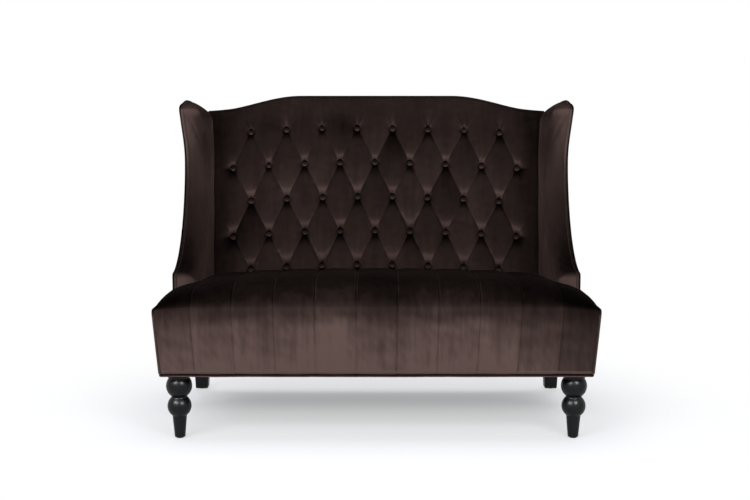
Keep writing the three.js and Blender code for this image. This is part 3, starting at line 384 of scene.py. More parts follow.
def both_sides(name, shape, shade, replaced):
    """The piece on the right and its mirror image on the left, in place of a solid each."""
    right = piece(f"right_{name}", shape, shade, replaced.format("right"))
    mirrored = shape[0] * np.array([-1, 1, 1]), [f[::-1] for f in shape[1]]
    left = piece(f"left_{name}", mirrored, shade, replaced.format("left"))
    return right, left


def outward(points, faces):
    """The faces turned so that the closed surface's volume is positive."""
    p = np.asarray(points, float)
    volume = 0.0
    for size in {len(f) for f in faces}:
        group = np.array([f for f in faces if len(f) == size])
        for i in range(1, size - 1):
            a, b, c = p[group[:, 0]], p[group[:, i]], p[group[:, i + 1]]
            volume += np.einsum("ij,ij->", a, np.cross(b, c))
    return faces if volume > 0 else [f[::-1] for f in faces]


def grid_faces(rows, columns, closed=False):
    faces = []
    for r in range(rows - 1):
        for c in range(columns if closed else columns - 1):
            a, b = r * columns + c, r * columns + (c + 1) % columns
            faces.append((a, b, b + columns, a + columns))
    return faces


def shell(front, back):
    """Points and faces of a closed piece between two grids of rows by columns by 3."""
    rows, columns = front.shape[:2]
    count = rows * columns
    points = np.r_[front.reshape(-1, 3), back.reshape(-1, 3)]
    faces = grid_faces(rows, columns)
    faces += [tuple(count + i for i in f[::-1]) for f in faces]
    edge = list(range(columns - 1))
    edge += [r * columns + columns - 1 for r in range(rows - 1)]
    edge += [(rows - 1) * columns + c for c in range(columns - 1, 0, -1)]
    edge += [r * columns for r in range(rows - 1, 0, -1)]
    for i, a in enumerate(edge):
        b = edge[(i + 1) % len(edge)]
        faces.append((b, a, a + count, b + count))
    return points, outward(points, faces)


def circle(sides):
    return np.linspace(0, math.tau, sides, endpoint=False)


def tube(rings):
    """Points and faces of a piece through rings by sides by 3, closed at both ends."""
    count, sides = rings.shape[:2]
    points = rings.reshape(-1, 3)
    faces = grid_faces(count, sides, closed=True)
    faces.append(tuple(range(sides))[::-1])
    faces.append(tuple(range((count - 1) * sides, count * sides)))
    return points, outward(points, faces)


def run_length(line):
    return np.r_[0, np.cumsum(np.linalg.norm(np.diff(line, axis=0), axis=1))]


def directions(line):
    along = np.gradient(line, axis=0)
    return along / np.linalg.norm(along, axis=1)[:, None]


def between(at, known, values):
    """Values at the places at, from those at the known places, along the first axis."""
    runs = values.reshape(len(known), -1).T
    full = np.stack([np.interp(at, known, run) for run in runs], 1)
    return full.reshape(len(at), *values.shape[1:])


def resample(line, count, shares=None):
    """The line as count points, evenly spaced or at the shares given of its length."""
    length = run_length(line)
    at = (np.linspace(0, 1, count) if shares is None else shares) * length[-1]
    return between(at, length, line)


def line_distance(points, line):
    """Distance of each point to a polyline, in the same plane."""
    a, b = line[:-1], line[1:]
    d = b - a
    rel = points[:, None] - a[None]
    t = np.clip((rel * d).sum(2) / (d * d).sum(1), 0, 1)
    return np.sqrt(((rel - t[..., None] * d) ** 2).sum(2)).min(1)


def bezier(points, count):
    points = np.array(points, float)
    t = np.linspace(0, 1, count)[:, None]
    n = len(points) - 1
    return sum(math.comb(n, i) * t**i * (1 - t) ** (n - i) * p for i, p in enumerate(points))


def cord(line, radius, across, sides, lumps, seed):
    """A round cord along a line of points; across is a direction that the line never follows."""
    line = np.asarray(line, float)
    along = directions(line)
    side = across - along * (along @ across)[:, None]
    side /= np.linalg.norm(side, axis=1)[:, None]
    up = np.cross(along, side)
    turns = circle(sides)[:, None]
    length = run_length(line)
    swell = radius * (1 + lumps * ripple(length, 0, seed, 0.03))
    swell[[0, -1]] *= 0.55
    spokes = np.cos(turns) * side[:, None] + np.sin(turns) * up[:, None]
    return tube(line[:, None] + swell[:, None, None] * spokes)


def lathe(profile, centre, sides=64):
    """A turned piece from (radius, height) pairs, bottom to top."""
    radii, heights = np.array(profile).T[:, :, None]
    x = centre[0] + radii * np.cos(circle(sides))
    y = centre[1] + radii * np.sin(circle(sides))
    return tube(np.stack(np.broadcast_arrays(x, y, heights), 2))


def filled(grid, outwards, cap, rows, columns, sewn=()):
    """The grid as a cover blown out by its filling, by less than cap.

    It is simulated as cloth on the rows and columns given, and sewn down along its border and
    along the columns in sewn."""
    part = grid[np.ix_(rows, columns)]
    mesh = mesh_of("cloth", part.reshape(-1, 3), grid_faces(len(rows), len(columns)))
    if sum(f.normal.dot(outwards) * f.area for f in mesh.polygons) < 0:
        mesh.flip_normals()
    sheet = added("cloth", mesh)
    held = np.ones(part.shape[:2], bool)
    held[2:-2, 2:-2] = False
    held[:, np.isin(columns, sewn)] = True
    sheet.vertex_groups.new(name="sewn").add(np.flatnonzero(held).tolist(), 1.0, "REPLACE")
    cloth = sheet.modifiers.new("cloth", "CLOTH")
    cloth.settings.vertex_group_mass = "sewn"
    cloth.settings.use_pressure = True
    cloth.settings.uniform_pressure_force = PRESSURE
    cloth.settings.effector_weights.gravity = 0.0
    cloth.point_cache.frame_start, cloth.point_cache.frame_end = 1, SIMULATED_FRAMES
    for number in range(1, SIMULATED_FRAMES + 1):
        scene.frame_set(number)
    done = evaluated_mesh(sheet)
    bpy.data.objects.remove(sheet)
    scene.frame_set(1)
    moved = np.zeros(part.size)
    done.vertices.foreach_get("co", moved)
    shift = moved.reshape(part.shape) - part
    size = np.linalg.norm(shift, axis=-1, keepdims=True)
    shift *= cap * np.tanh(size / cap) / np.maximum(size, 1e-9)
    # Each point evened out with its four neighbours, three times over.
    for _ in range(3):
        above_below = shift[:-2, 1:-1] + shift[2:, 1:-1]
        shift[1:-1, 1:-1] += above_below + shift[1:-1, :-2] + shift[1:-1, 2:]
        shift[1:-1, 1:-1] /= 5
        shift[held] = 0
    # Back onto every row and column of the grid.
    height, width = (np.arange(size) for size in grid.shape[:2])
    wide = between(width, columns, between(height, rows, shift).swapaxes(0, 1))
    return grid + wide.swapaxes(0, 1)


# The back: points given in its own leaning plane


def to_world(x, y, z):
    """From the back's own frame, y to the rear across its thickness and z up along it."""
    c, s = math.cos(RECLINE), math.sin(RECLINE)
    y, z = BACK_FOOT + y * c + z * s, SEAT_UNDER - y * s + z * c
    return np.stack(np.broadcast_arrays(x, y, z), -1)


def back_plane_y(y, z):
    """Where a plane of the back lies at the height z over the floor."""
    return BACK_FOOT + (z - SEAT_UNDER) * math.tan(RECLINE) + y / math.cos(RECLINE)


def camel_top(x):
    down = np.clip((np.abs(x) - CAMEL_FLAT) / (CAMEL_SHOULDER - CAMEL_FLAT), 0, 1)
    return BACK_HEIGHT - CAMEL_RISE * (1 - np.cos(math.pi * down)) / 2


def wander(x, z):
    """How far the tufting strays from its even grid, in pitches across and in rows up."""
    stray, length, aside = 0.030, 0.7, 0.038
    bow = (0.010 - 0.020 * (x / 0.47) ** 2) / TUFT_ROW
    up = stray * ripple(x, z, 22, length, 2) - bow
    return aside + stray * ripple(x, z, 21, length, 2), up


def tuft_place(x, z):
    """A point's place in the grid of buttons, in pitches across and rows up."""
    dx, dz = wander(x, z)
    return x / TUFT_PITCH + dx, (z - TUFT_FIRST) / TUFT_ROW + dz


def nearest_button(a, b):
    """Distance across and up from the nearest button, and how hard those near were pulled."""
    pulls = np.random.default_rng(19).normal(1.0, 0.17, (TUFT_ROWS, 2 * TUFT_HALF + 1))
    pulls = np.clip(pulls, 0.7, 1.35) + 0.28 * np.linspace(1, -1, TUFT_ROWS)[:, None]
    across, up = np.full((2, *a.shape), np.inf)
    pull, weight = np.zeros((2, *a.shape))
    for step_b in (0, 1):
        row = np.clip(np.floor(b) + step_b, 0, TUFT_ROWS - 1)
        half = 0.5 - row % 2 / 2
        limit = TUFT_HALF - half
        for step_a in (0, 1):
            column = np.clip(np.floor(a - half) + half + step_a, -limit, limit)
            dx, dz = (a - column) * TUFT_PITCH, (b - row) * TUFT_ROW
            away = np.hypot(dx, dz)
            closer = away < np.hypot(across, up)
            across, up = np.where(closer, dx, across), np.where(closer, dz, up)
            near = bell(away, 0.030) + 1e-9
            pull += near * pulls[row.astype(int), (column + limit).astype(int)]
            weight += near
    return across, up, pull / weight


def beyond_tufts(x, z, a):
    """0 within the buttons, 1 at the edges of the cover."""
    side = (np.abs(a) - TUFT_HALF) * TUFT_PITCH / (PAD_HALF - TUFT_HALF * TUFT_PITCH)
    top = (z - TUFT_TOP) / (camel_top(x) - TOP_ROLL - TUFT_TOP)
    foot = (TUFT_FIRST - z) / (TUFT_FIRST - PAD_FOOT)
    return np.clip(np.maximum(np.maximum(side, top), foot), 0, 1)


def tuft_relief(x, z):
    """Height of the tufted face over the seats of its buttons."""
    a, b = tuft_place(x, z)
    across = np.clip(a, -TUFT_HALF, TUFT_HALF)
    up = np.clip(b, 0, TUFT_ROWS - 1)
    rise = math.hypot(1 / TUFT_PITCH, 0.5 / TUFT_ROW)
    first = np.abs((across + up / 2) % 1 - 0.5) / rise
    second = np.abs((across - up / 2) % 1 - 0.5) / rise
    dx, dz, pull = nearest_button(a, b)
    near = np.hypot(dx, dz)
    beyond = beyond_tufts(x, z, a)
    out = smoothstep(beyond)
    # Round a button the cloth falls in flat facets, between the folds that run to its neighbours.
    reach = 0.45 * near + 0.44 * (first + second)
    reach = reach + (near - reach) * out
    dimple = DIMPLE_DEPTH * np.exp(-reach / (DIMPLE_REACH * pull))
    hole = HOLE_DEPTH * bell(near, HOLE_REACH, 4)
    fold = np.minimum(first, second)
    uneven = np.clip(0.5 + 1.6 * ripple(x, z, 23, 0.25, 2), 0.0, 2.0)
    deep = FOLD_DEPTH * uneven + FOLD_AT_BUTTON * np.exp(-near / FOLD_FADE)
    groove = deep * pull**2 * np.exp(-fold / FOLD_WIDTH) * (1 - smoothstep(2.2 * beyond))
    pillow = np.sin(math.pi * rise * first) * np.sin(math.pi * rise * second)
    pillow = pillow + (0.6 - pillow) * out
    return DIMPLE_DEPTH + PILLOW_RISE * pillow - dimple - groove - hole


def tuft_shade_and_lay(x, z):
    """Painted light and shade and each diamond's pile over the tufted face, beyond its plain
    level.
    """
    a, b = tuft_place(x, z)
    across = np.clip(a, -TUFT_HALF, TUFT_HALF)
    up = np.clip(b, -0.5, TUFT_ROWS - 0.5)
    # Each diamond was brushed a little differently when it was pulled in. Its lay is drawn from
    # a table that is wide enough for all of them.
    table = 80
    i = np.floor(across + up / 2 + 0.5).astype(int) + table // 2
    j = np.floor(across - up / 2 + 0.5).astype(int) + table // 2
    drawn = np.random.default_rng(17).normal(0, 1, (table, table))[i, j]
    high = ((across + up / 2 + 0.5) % 1 + 1 - (across - up / 2 + 0.5) % 1) / 2
    closed = 0.07 * np.clip(drawn, -0.7, 1.2) + 0.17 * ease(drawn, 0.9, 0.5)
    shade_and_lay = closed * (0.2 + 0.8 * high) * (1 - ease(b, TUFT_ROWS - 1, 0.6))
    # Painted light where the cloth runs down into a button, and painted shadow under it.
    dx, dz, _ = nearest_button(a, b)
    row = np.clip(np.round(b), 0, TUFT_ROWS - 1).astype(int)
    painted_light_above = np.array(TUFT_PAINTED_LIGHT)[row] * np.clip(1 + 1.1 * ripple(x, z, 25, 0.22, 1), 0.25, 1.6)
    from_fold = 0.5 * TUFT_PITCH / TUFT_ROW * np.abs(dz) - np.abs(dx)
    wedge = smoothstep(from_fold / 0.004 + 0.5) * (1 + 0.5 * bell(from_fold, 0.0022))
    above, under = bell(np.clip(dz, 0, 1), 0.031, 2.5), bell(np.clip(-dz, 0, 1), 0.024, 1.8)
    shade_and_lay = shade_and_lay + wedge * np.where(dz > 0, -painted_light_above * above, 0.35 * under)
    # Painted shade: darker high up and beside the wings, lighter low down and on the top roll.
    shade_and_lay = shade_and_lay + 0.08 * ease(z, 0.50, 0.20) - 0.05 * ease(z, 0.40, -0.15)
    shade_and_lay = shade_and_lay - 0.8 * np.sqrt(np.clip((z - camel_top(x) + TOP_ROLL) / TOP_ROLL, 0, 1))
    return shade_and_lay + 0.05 * ease(np.abs(x), 0.30, 0.12) + 0.16 * ease(np.abs(x), 0.45, 0.06)


def top_flare(x, z):
    """How far the cover spreads outwards near its top corners, where the wings' pads thin out."""
    down = np.clip((camel_top(PAD_HALF) - z) / 0.12, 0, 1)
    share = ease(np.abs(x), 0.47, PAD_HALF - 0.47)
    return np.sign(x) * 0.022 * (1 - down) ** 1.4 * share


def back_cover():
    step_x, step_z = TUFT_PITCH / 54, TUFT_ROW / 40
    side = int(round(PAD_HALF / step_x))
    xs = np.linspace(-PAD_HALF, PAD_HALF, 2 * side + 1)
    tops = camel_top(xs)
    # Even rows up to the top buttons, rows that follow the crest, and the roll over it.
    rows = [np.full_like(xs, z) for z in np.arange(PAD_FOOT, TUFT_TOP, step_z)]
    rise = np.linspace(0, 1, 24, endpoint=False)
    rows += [TUFT_TOP + (tops - TOP_ROLL - TUFT_TOP) * s for s in rise]
    rows += [tops - TOP_ROLL * (1 - math.sin(t)) for t in np.linspace(0, math.pi / 2, 12)]
    z = np.array(rows)
    x = np.broadcast_to(xs, z.shape)
    roll = rolled(tops - z, TOP_ROLL)
    tuck = rolled(PAD_HALF - np.abs(x), 0.008)
    foot = rolled(z - PAD_FOOT + 0.004, 0.03)
    height = (TUFT_SEAT + tuft_relief(x, z)) * roll * (0.94 + 0.06 * tuck) * foot
    height += 0.0010 * ripple(x, z, 3, 0.12) * roll
    height = np.maximum(height, 0.001)
    wide = x + top_flare(x, z)
    flared = xs + top_flare(xs, tops)
    # Over the top and down behind, as one cloth: (y, drop from the crest).
    over = [(-0.060, 0), (-0.040, 0), (-0.020, 0)]
    over += [(-0.009, 0.0008), (-0.006, 0.004), (-0.0058, 0.010)]
    lip = np.array([to_world(flared, y, tops - drop) for y, drop in over])
    front = np.r_[to_world(wide, TUFT_REAR - height, z), lip]
    inside = (-0.060, -0.040, -0.020, -0.011, -0.009, -0.0075)
    under = np.array([to_world(flared, y, tops - 0.012) for y in inside])
    back = np.r_[to_world(wide, TUFT_REAR, np.minimum(z, tops - 0.010)), under]
    # Painted light and shade over the tufting, and the lip over the top painted lighter.
    shade_and_lay = np.r_[tuft_shade_and_lay(x, z), np.full(lip.shape[:2], -0.55)]
    shape = shell(front, back)
    made = piece("tufted_back_cover_velvet", shape, BACK_VELVET, "tufted_back_cover")
    paint_shade_and_lay(made, shade_and_lay)


def button_seat(x, z):
    """Where a button of the even grid sits once the tufting has strayed."""
    px, pz = x, z
    for _ in range(4):
        dx, dz = wander(px, pz)
        px, pz = x - dx * TUFT_PITCH, z - dz * TUFT_ROW
    return px, pz


def buttons():
    sides, pleats, number = 28, 7, 0
    turns = circle(sides)
    # (radius, height) from the rim's back over the dome to near its middle
    profile = [(0.0075, -0.002), (0.0098, 0.0), (0.0107, 0.0022), (0.0103, 0.0046)]
    profile += [(0.0088, 0.0066), (0.0064, 0.0081), (0.0036, 0.0090), (0.0010, 0.0093)]
    radii, heights = np.array(profile).T[:, :, None]
    for row in range(TUFT_ROWS):
        count = 2 * TUFT_HALF + row % 2
        for i in range(count):
            number += 1
            even_x = (i - (count - 1) / 2) * TUFT_PITCH
            x, z = button_seat(even_x, TUFT_FIRST + row * TUFT_ROW)
            base = TUFT_REAR - TUFT_SEAT - BUTTON_SEAT - rng.uniform(0, 0.002)
            tilt_x, tilt_z = rng.uniform(-0.12, 0.12, 2)
            pleat = 1 + 0.012 * np.cos(pleats * turns + rng.uniform(0, math.tau))
            px, pz = radii * np.cos(turns) * pleat, radii * np.sin(turns) * pleat
            py = heights + tilt_x * px + tilt_z * pz
            shape = tube(to_world(x + px, base - py, z + pz))
            piece(f"back_button_{number:02d}", shape, BUTTON_VELVET)


def back_edge_welt():
    """The cord along the rear top edge, where the cover meets the outer panel."""
    xs = np.linspace(-0.588, 0.588, 240)
    line = to_world(xs, -0.0085, camel_top(xs) - 0.0015)
    piece("back_top_welt", cord(line, 0.0032, REAR, 10, 0.04, 5), TRIM)


def back_top_corner():
    """The strip of cover over the frame behind each wing's pad."""
    xs = np.linspace(PAD_HALF - 0.002, 0.5895, 16)
    rows = [(FRAME_FRONT, 0.006), (-0.037, 0.0015), (-0.034, 0.0), (-0.020, 0.0)]
    rows += [(-0.009, 0.0006), (-0.006, 0.004)]
    front = np.array([to_world(xs, y, camel_top(xs) - drop) for y, drop in rows])
    back = np.array([to_world(xs, y, camel_top(xs) - 0.0125) for y, _ in rows])
    both_sides("back_top_corner", shell(front, back), VELVET, "tufted_back_cover")


def outer_back():
    """The panel behind: below the ledge as wide as the seat, above it as wide as the wings."""
    ledge = (SEAT_EDGE - SEAT_UNDER) / math.cos(RECLINE)
    half_top = WING_HALF - TOE_OUT * DEPTH / 2
    low = np.linspace(0.010, ledge - 0.010, 26)
    low = np.r_[0, 0.0015, 0.004, low, ledge - 0.004, ledge - 0.0015]
    high = np.r_[0, 0.002, 0.006, np.linspace(0.012, 0.988, 84), 0.994, 0.998, 1][:, None]
    half = BASE_HALF + (SEAT_HALF - BASE_HALF) * low / ledge
    half = np.r_[half, np.full(len(high), half_top)][:, None]
    shares = np.linspace(-1, 1, 161)
    x = shares * half
    upper = ledge + (camel_top(shares * half_top) - ledge) * high
    z = np.r_[low[:, None] + 0 * shares, upper]
    inside = np.minimum(half - np.abs(x), z + 0.001)
    inside = np.minimum(inside, camel_top(x) - z + 0.0005)
    below = np.arange(len(x))[:, None] < len(low)
    step = np.where(np.abs(x) > half_top, ledge - z, 1.0)
    inside = np.where(below, np.minimum(inside, step), inside)
    full = 0.0048 * rolled(inside, 0.004)
    slack = 0.0007 * ripple(x, z, 31, 0.5, 2) * smoothstep(inside / 0.05)
    front = to_world(x, -PANEL + np.maximum(full + slack, 0.0003), z)
    back = to_world(x, -PANEL + 0.0001, z)
    shape = shell(front, back)
    piece("outer_back_panel_velvet", shape, PANEL_VELVET, "outer_back_panel")


# The wings


def wing_path():
    """The wing's free edge in side view, as [y, z]: up the arm's front and over it to the ear."""
    arm, corner = 0.478, 0.028
    start, bend = (ARM_REACH, arm - corner), (ARM_REACH + corner, arm)
    hollow, tip, crest = (0.060, 0.800), (-0.002, 0.958), (0.036, EAR_TOP)
    rear = (back_plane_y(PANEL_INSIDE, WING_TOP_REAR), WING_TOP_REAR)
    runs = [
        bezier([(ARM_REACH, RAIL_TOP), start], 60),
        bezier([start, (ARM_REACH, arm), bend], 30),
        bezier([bend, (-0.030, 0.505), (0.060, 0.680), hollow], 160),
        bezier([hollow, (0.060, 0.870), (0.020, 0.910), tip], 80),
        bezier([tip, (-0.002, 0.972), (0.014, EAR_TOP), crest], 40),
        bezier([crest, (0.190, EAR_TOP), rear], 90),
    ]
    return resample(np.concatenate([runs[0]] + [r[1:] for r in runs[1:]]), 420)


def wing_edge(inset, rear_plane):
    """The free edge moved inwards by inset and ended where it meets a plane of the back."""
    line = wing_path()
    along = directions(line)
    moved = line + inset * np.stack([along[:, 1], -along[:, 0]], 1)
    gap = back_plane_y(rear_plane, moved[:, 1]) - moved[:, 0]
    count = np.count_nonzero(gap > 0)
    ends = [count - 1, min(count, len(moved) - 1)]
    (g0, g1), (z0, z1) = gap[ends], moved[ends, 1]
    height = z0 + (z1 - z0) * (0 if g0 == g1 else np.clip(g0 / (g0 - g1), 0, 1))
    return np.r_[moved[:count], [[back_plane_y(rear_plane, height), height]]]


def wing_patch(inset, rear_plane, rows, columns):
    """y and z of a grid over the wing's side view, and each point's distance from the edge."""
    edge = wing_edge(inset, rear_plane)
    ear = int(round(EAR_SHARE * (len(edge) - 1)))
    front = resample(edge[: ear + 1], rows)
    close = 1 - (1 - np.linspace(0, 1, columns)) ** 1.7
    top = resample(edge[ear:][::-1], columns, close)
    rear_z = np.linspace(RAIL_TOP, top[0, 1], rows)
    rear = np.stack([back_plane_y(rear_plane, rear_z), rear_z], 1)
    foot = rear[0] + (front[0] - rear[0]) * close[:, None]
    u, v = close[None, :, None], np.linspace(0, 1, rows)[:, None, None]
    flat = (1 - v) * foot[None] + v * top[None] + (1 - u) * rear[:, None] + u * front[:, None]
    corners = (1 - u) * ((1 - v) * foot[0] + v * top[0]) + u * ((1 - v) * front[0] + v * top[-1])
    grid = flat - corners
    distance = line_distance(grid.reshape(-1, 2), edge[::2]).reshape(rows, columns)
    return grid[..., 0], grid[..., 1], distance


def toed(x, y, z=0.0):
    """Turns a wing out towards its front, flares its ear and rolls the ear's top inwards."""
    high = np.clip((z - (EAR_TOP - EAR_ROLL)) / EAR_ROLL, 0, 1)
    flare = EAR_FLARE * ease(z, 0.80, 0.12)
    return x - TOE_OUT * y + flare - EAR_LEAN * (1 - np.sqrt(1 - high**2))


def wing_face(x, y, z):
    """Points of a wing's face, x to the side before the wing is toed out."""
    return np.stack([toed(x, y, z), y, z], -1)


def wing_pad():
    rows, columns = 150, 64
    y, z, distance = wing_patch(0.0040, FRAME_FRONT, rows, columns)
    behind = back_plane_y(FRAME_FRONT, z) - y
    full = WING_JOIN - WING_PAD_INNER
    soft = 0.0016 * ripple(y, z, 41, 0.16) * smoothstep(distance / 0.04)
    # Beside the back the pad thins out slowly towards its top.
    at_back = rolled(distance, WING_ROLL_REAR)
    at_back = at_back * (1 - 0.42 * (1 - np.clip(distance / 0.12, 0, 1)) ** 1.4)
    at_front = rolled(distance, WING_ROLL)
    ahead = smoothstep(behind / WING_ROLL_FADE)
    thick = full * (at_back + (at_front - at_back) * ahead) + soft
    pucker = 0.0008 * ripple(y, z, 42, 0.022, 1) * bell(distance, 0.012)
    thick = np.maximum(thick + pucker, 0.0004)
    front = wing_face(WING_JOIN - thick, y, z)
    front = filled(front, Vector(-RIGHT), PAD_SWELL, np.arange(rows), np.arange(columns))
    back = wing_face(WING_JOIN, y, z)
    # Painted shade towards the ear and near its edge, painted light again on its top, beside the
    # back and on the arm's front.
    shade_and_lay = 0.18 * ease(z, 0.70, 0.20) - 0.75 * ease(z, 0.935, 0.045)
    shade_and_lay += 0.14 * bell(distance, 0.04) * ease(z, 0.78, 0.12)
    at_rear = 0.38 * ease(z, 0.50, 0.20) + 0.34 * ease(z, 0.82, 0.08)
    shade_and_lay -= at_rear * bell(behind, 0.11)
    shade_and_lay = shade_and_lay - 0.22 * ease(y, -0.085, -0.05) * ease(z, 0.50, -0.05)
    for made in both_sides("wing_pad_velvet", shell(front, back), VELVET, "{}_wing_pad"):
        paint_shade_and_lay(made, shade_and_lay)


def wing_outer():
    y, z, distance = wing_patch(0.0065, PANEL_INSIDE, 120, 48)
    ahead = (back_plane_y(PANEL_INSIDE, z) - y) / 0.08
    crown = OUTER_BULGE * smoothstep(distance / 0.05) * smoothstep(ahead)
    edge = OUTER_EDGE + (WING_PANEL + WELT_INSET - OUTER_EDGE) * smoothstep(1 - ahead)
    thick = edge * rolled(distance, 0.006) + crown + 0.0006 * ripple(y, z, 51, 0.4, 2)
    front = wing_face(WING_JOIN + np.maximum(thick, 0.0003), y, z)
    shape = shell(front, wing_face(WING_JOIN, y, z))
    # The panel's edge painted darker, as painted shade.
    for made in both_sides("wing_outer_panel_velvet", shape, PANEL_VELVET, "{}_wing_outer_panel"):
        paint_shade_and_lay(made, 0.6 * bell(distance, 0.007))


def wing_welt():
    line = resample(wing_edge(WING_WELT / 2, PANEL_INSIDE), 420)
    x = WING_HALF - WELT_INSET - WING_WELT / 2
    shape = cord(wing_face(x, *line.T), 0.0041, RIGHT, 12, 0.05, 61)
    both_sides("wing_welt_cord", shape, TRIM, "{}_wing_welt")


# The seat


def seat_half(z):
    return BASE_HALF + (SEAT_HALF - BASE_HALF) * (z - SEAT_UNDER) / (SEAT_EDGE - SEAT_UNDER)


def wing_footprint(grow):
    """The plan of the room that a wing takes up in the seat, as (x, y) points."""
    inner, rim, rear = WING_PAD_INNER - grow, WING_HALF + grow, 0.30
    turn = np.linspace(0, math.pi / 2, 14)
    roll_x = inner + (WING_HALF - 0.004 - inner) * (1 - np.cos(turn))
    roll_y = ARM_REACH - grow + (WING_ROLL + 0.008) * (1 - np.sin(turn))
    plan = [(inner, rear), *zip(roll_x, roll_y), (rim, ARM_REACH - grow), (rim, rear)]
    return np.array([(toed(x, y), y) for x, y in plan])


def seat_rows(foot):
    """The cover's rows, front to rear: how far back each lies, the height of its sides, its share
    of the crown, and how far the cover has turned from upright to level."""
    rows = []
    height = SEAT_EDGE - foot
    for s in np.linspace(0, 0.97, 40):
        bulge = -FRONT_BULGE * math.sin(math.pi * s)
        rows.append((bulge + 0.007 * bell(s * height, 0.0055), foot + s * height, 0.0, 0.0))
    for turn in np.linspace(0.04, 1, 34) * math.pi / 2:
        rows.append((CROWN_ROLL * (1 - math.cos(turn)), SEAT_EDGE, math.sin(turn), turn))
    for t in np.linspace(0, 1, 60)[1:]:
        back = CROWN_ROLL + (PAD_REAR - FRONT - FRONT_BULGE - CROWN_ROLL) * t
        rows.append((back, SEAT_EDGE, 1 + (CREST_REAR_SHARE - 1) * t * t, math.pi / 2))
    return rows


def seat_cover():
    half_top = SEAT_HALF - WELT
    middle = (SEAM_COUNT - 1) / 2
    seams = (np.arange(SEAM_COUNT) - middle) * SEAM_PITCH
    xs = np.linspace(-half_top, half_top, 641)
    # Pull each station nearest a seam onto it, so that the groove stays sharp.
    for s in seams:
        xs[np.argmin(np.abs(xs - s))] = s
    share = xs / half_top
    near = np.min(np.abs(xs[:, None] - seams[None]), 1)
    gaps = np.abs(np.cos(math.pi * np.clip(xs / SEAM_PITCH, -middle, middle)))
    puff = 0.0030 * gaps**0.8 - 0.0036 * bell(near, 0.0024)
    crown = np.clip(1 - np.abs(share) ** CROWN_WIDTH_POWER, 0, 1) ** CROWN_EDGE_POWER
    rows = seat_rows(SEAT_UNDER + HEM * 0.75)
    front = np.zeros((len(rows), len(xs), 3))
    for r, (back, z0, lift, turn) in enumerate(rows):
        half = seat_half(z0) - WELT
        x = share * half
        wave = 0.0011 * ripple(x, back + z0, 71, 0.11)
        out = puff * (0.45 + 0.55 * math.sin(turn)) + wave
        out *= smoothstep((half - np.abs(x)) / 0.02)
        y = FRONT + FRONT_BULGE + back - out * math.cos(turn)
        z = z0 + SEAT_CROWN * crown * lift + out * math.sin(turn)
        front[r] = np.stack([x, y, z], -1)
    sewn = [int(np.argmin(np.abs(xs - s))) for s in seams]
    columns = np.union1d(np.arange(0, len(xs), 4), sewn)
    rows_used = np.union1d(np.arange(0, len(rows), 2), [len(rows) - 1])
    front = filled(front, Vector((0, -0.5, 1)), SEAT_SWELL, rows_used, columns, sewn)
    front = beside_wings(front)
    turns = np.array([turn for *_, turn in rows])[:, None]
    inner = front.copy()
    inner[..., 1] += COVER_CLOTH * np.cos(turns)
    inner[..., 2] -= COVER_CLOTH * np.sin(turns)
    made = piece("seat_cover_velvet", shell(front, inner), SEAT_VELVET, "seat_cover")
    cut_for_wings(made)
    paint_shade_and_lay(made, seat_shade_and_lay(made))


def seat_shade_and_lay(made):
    """Each panel's own darkening, painted shade at its seams, the front edge and the rear."""
    where = np.zeros(3 * len(made.data.vertices))
    made.data.vertices.foreach_get("co", where)
    x, y, z = where.reshape(-1, 3).T
    flat = x * (SEAT_HALF - WELT) / (seat_half(np.minimum(z, SEAT_EDGE)) - WELT)
    half_count = SEAM_COUNT // 2
    panels = np.clip(np.floor(flat / SEAM_PITCH + half_count + 0.5), 0, SEAM_COUNT).astype(int)
    seam = np.clip(np.round(flat / SEAM_PITCH - 0.5), -half_count, half_count - 1) + 0.5
    off = flat - seam * SEAM_PITCH
    on_top = ease(z, 0.40, 0.03)
    centres = (np.arange(SEAM_COUNT + 1) - half_count) * SEAM_PITCH
    shade_and_lay = (np.array(PANEL_DARKENING)[panels] + np.interp(flat, centres, PANEL_DARKENING)) / 2
    # Painted shade in each seam, and a painted highlight beside it on the top towards the front.
    shade_and_lay += (0.12 + 0.10 * on_top) * bell(off, 0.0016)
    shade_and_lay -= 0.13 * on_top * (1 - ease(y, -0.16, 0.16)) * bell(off - 0.0036, 0.0018)
    # Painted shade towards the front edge, painted light on the top, painted shade at the rear.
    shade_and_lay += 0.19 * ease(z, 0.33, 0.06) - 0.22 * ease(z, 0.41, 0.04)
    return shade_and_lay + 0.50 * ease(y, -0.16, 0.22)


def beside_wings(front):
    """Lets the cover dip where it is tucked down round a wing."""
    flat = front.reshape(-1, 3).copy()
    top = flat[:, 2] > SEAT_EDGE
    spots = np.stack([np.abs(flat[top, 0]), flat[top, 1]], 1)
    near = line_distance(spots, wing_footprint(0.0005)[:-2])
    flat[top, 2] -= 0.007 * bell(near, 0.011)
    return flat.reshape(front.shape)


def cut_for_wings(made):
    for side in (1, -1):
        plan = wing_footprint(0.0006)
        plan[:, 0] *= side
        count = len(plan)
        points = [(x, y, z) for z in (0.25, 0.60) for x, y in plan]
        faces = [tuple(range(count)), tuple(range(count, 2 * count))[::-1]]
        faces += [(i, (i + 1) % count, (i + 1) % count + count, i + count) for i in range(count)]
        tool = added("wing_room", mesh_of("wing_room", points, outward(points, faces)))
        cutter = made.modifiers.new("wing_room", "BOOLEAN")
        cutter.operation = "DIFFERENCE"
        cutter.solver = "EXACT"
        cutter.object = tool
        bpy.context.view_layer.update()
        done = evaluated_mesh(made)
        made.modifiers.clear()
        made.data = done
        bpy.data.objects.remove(tool)


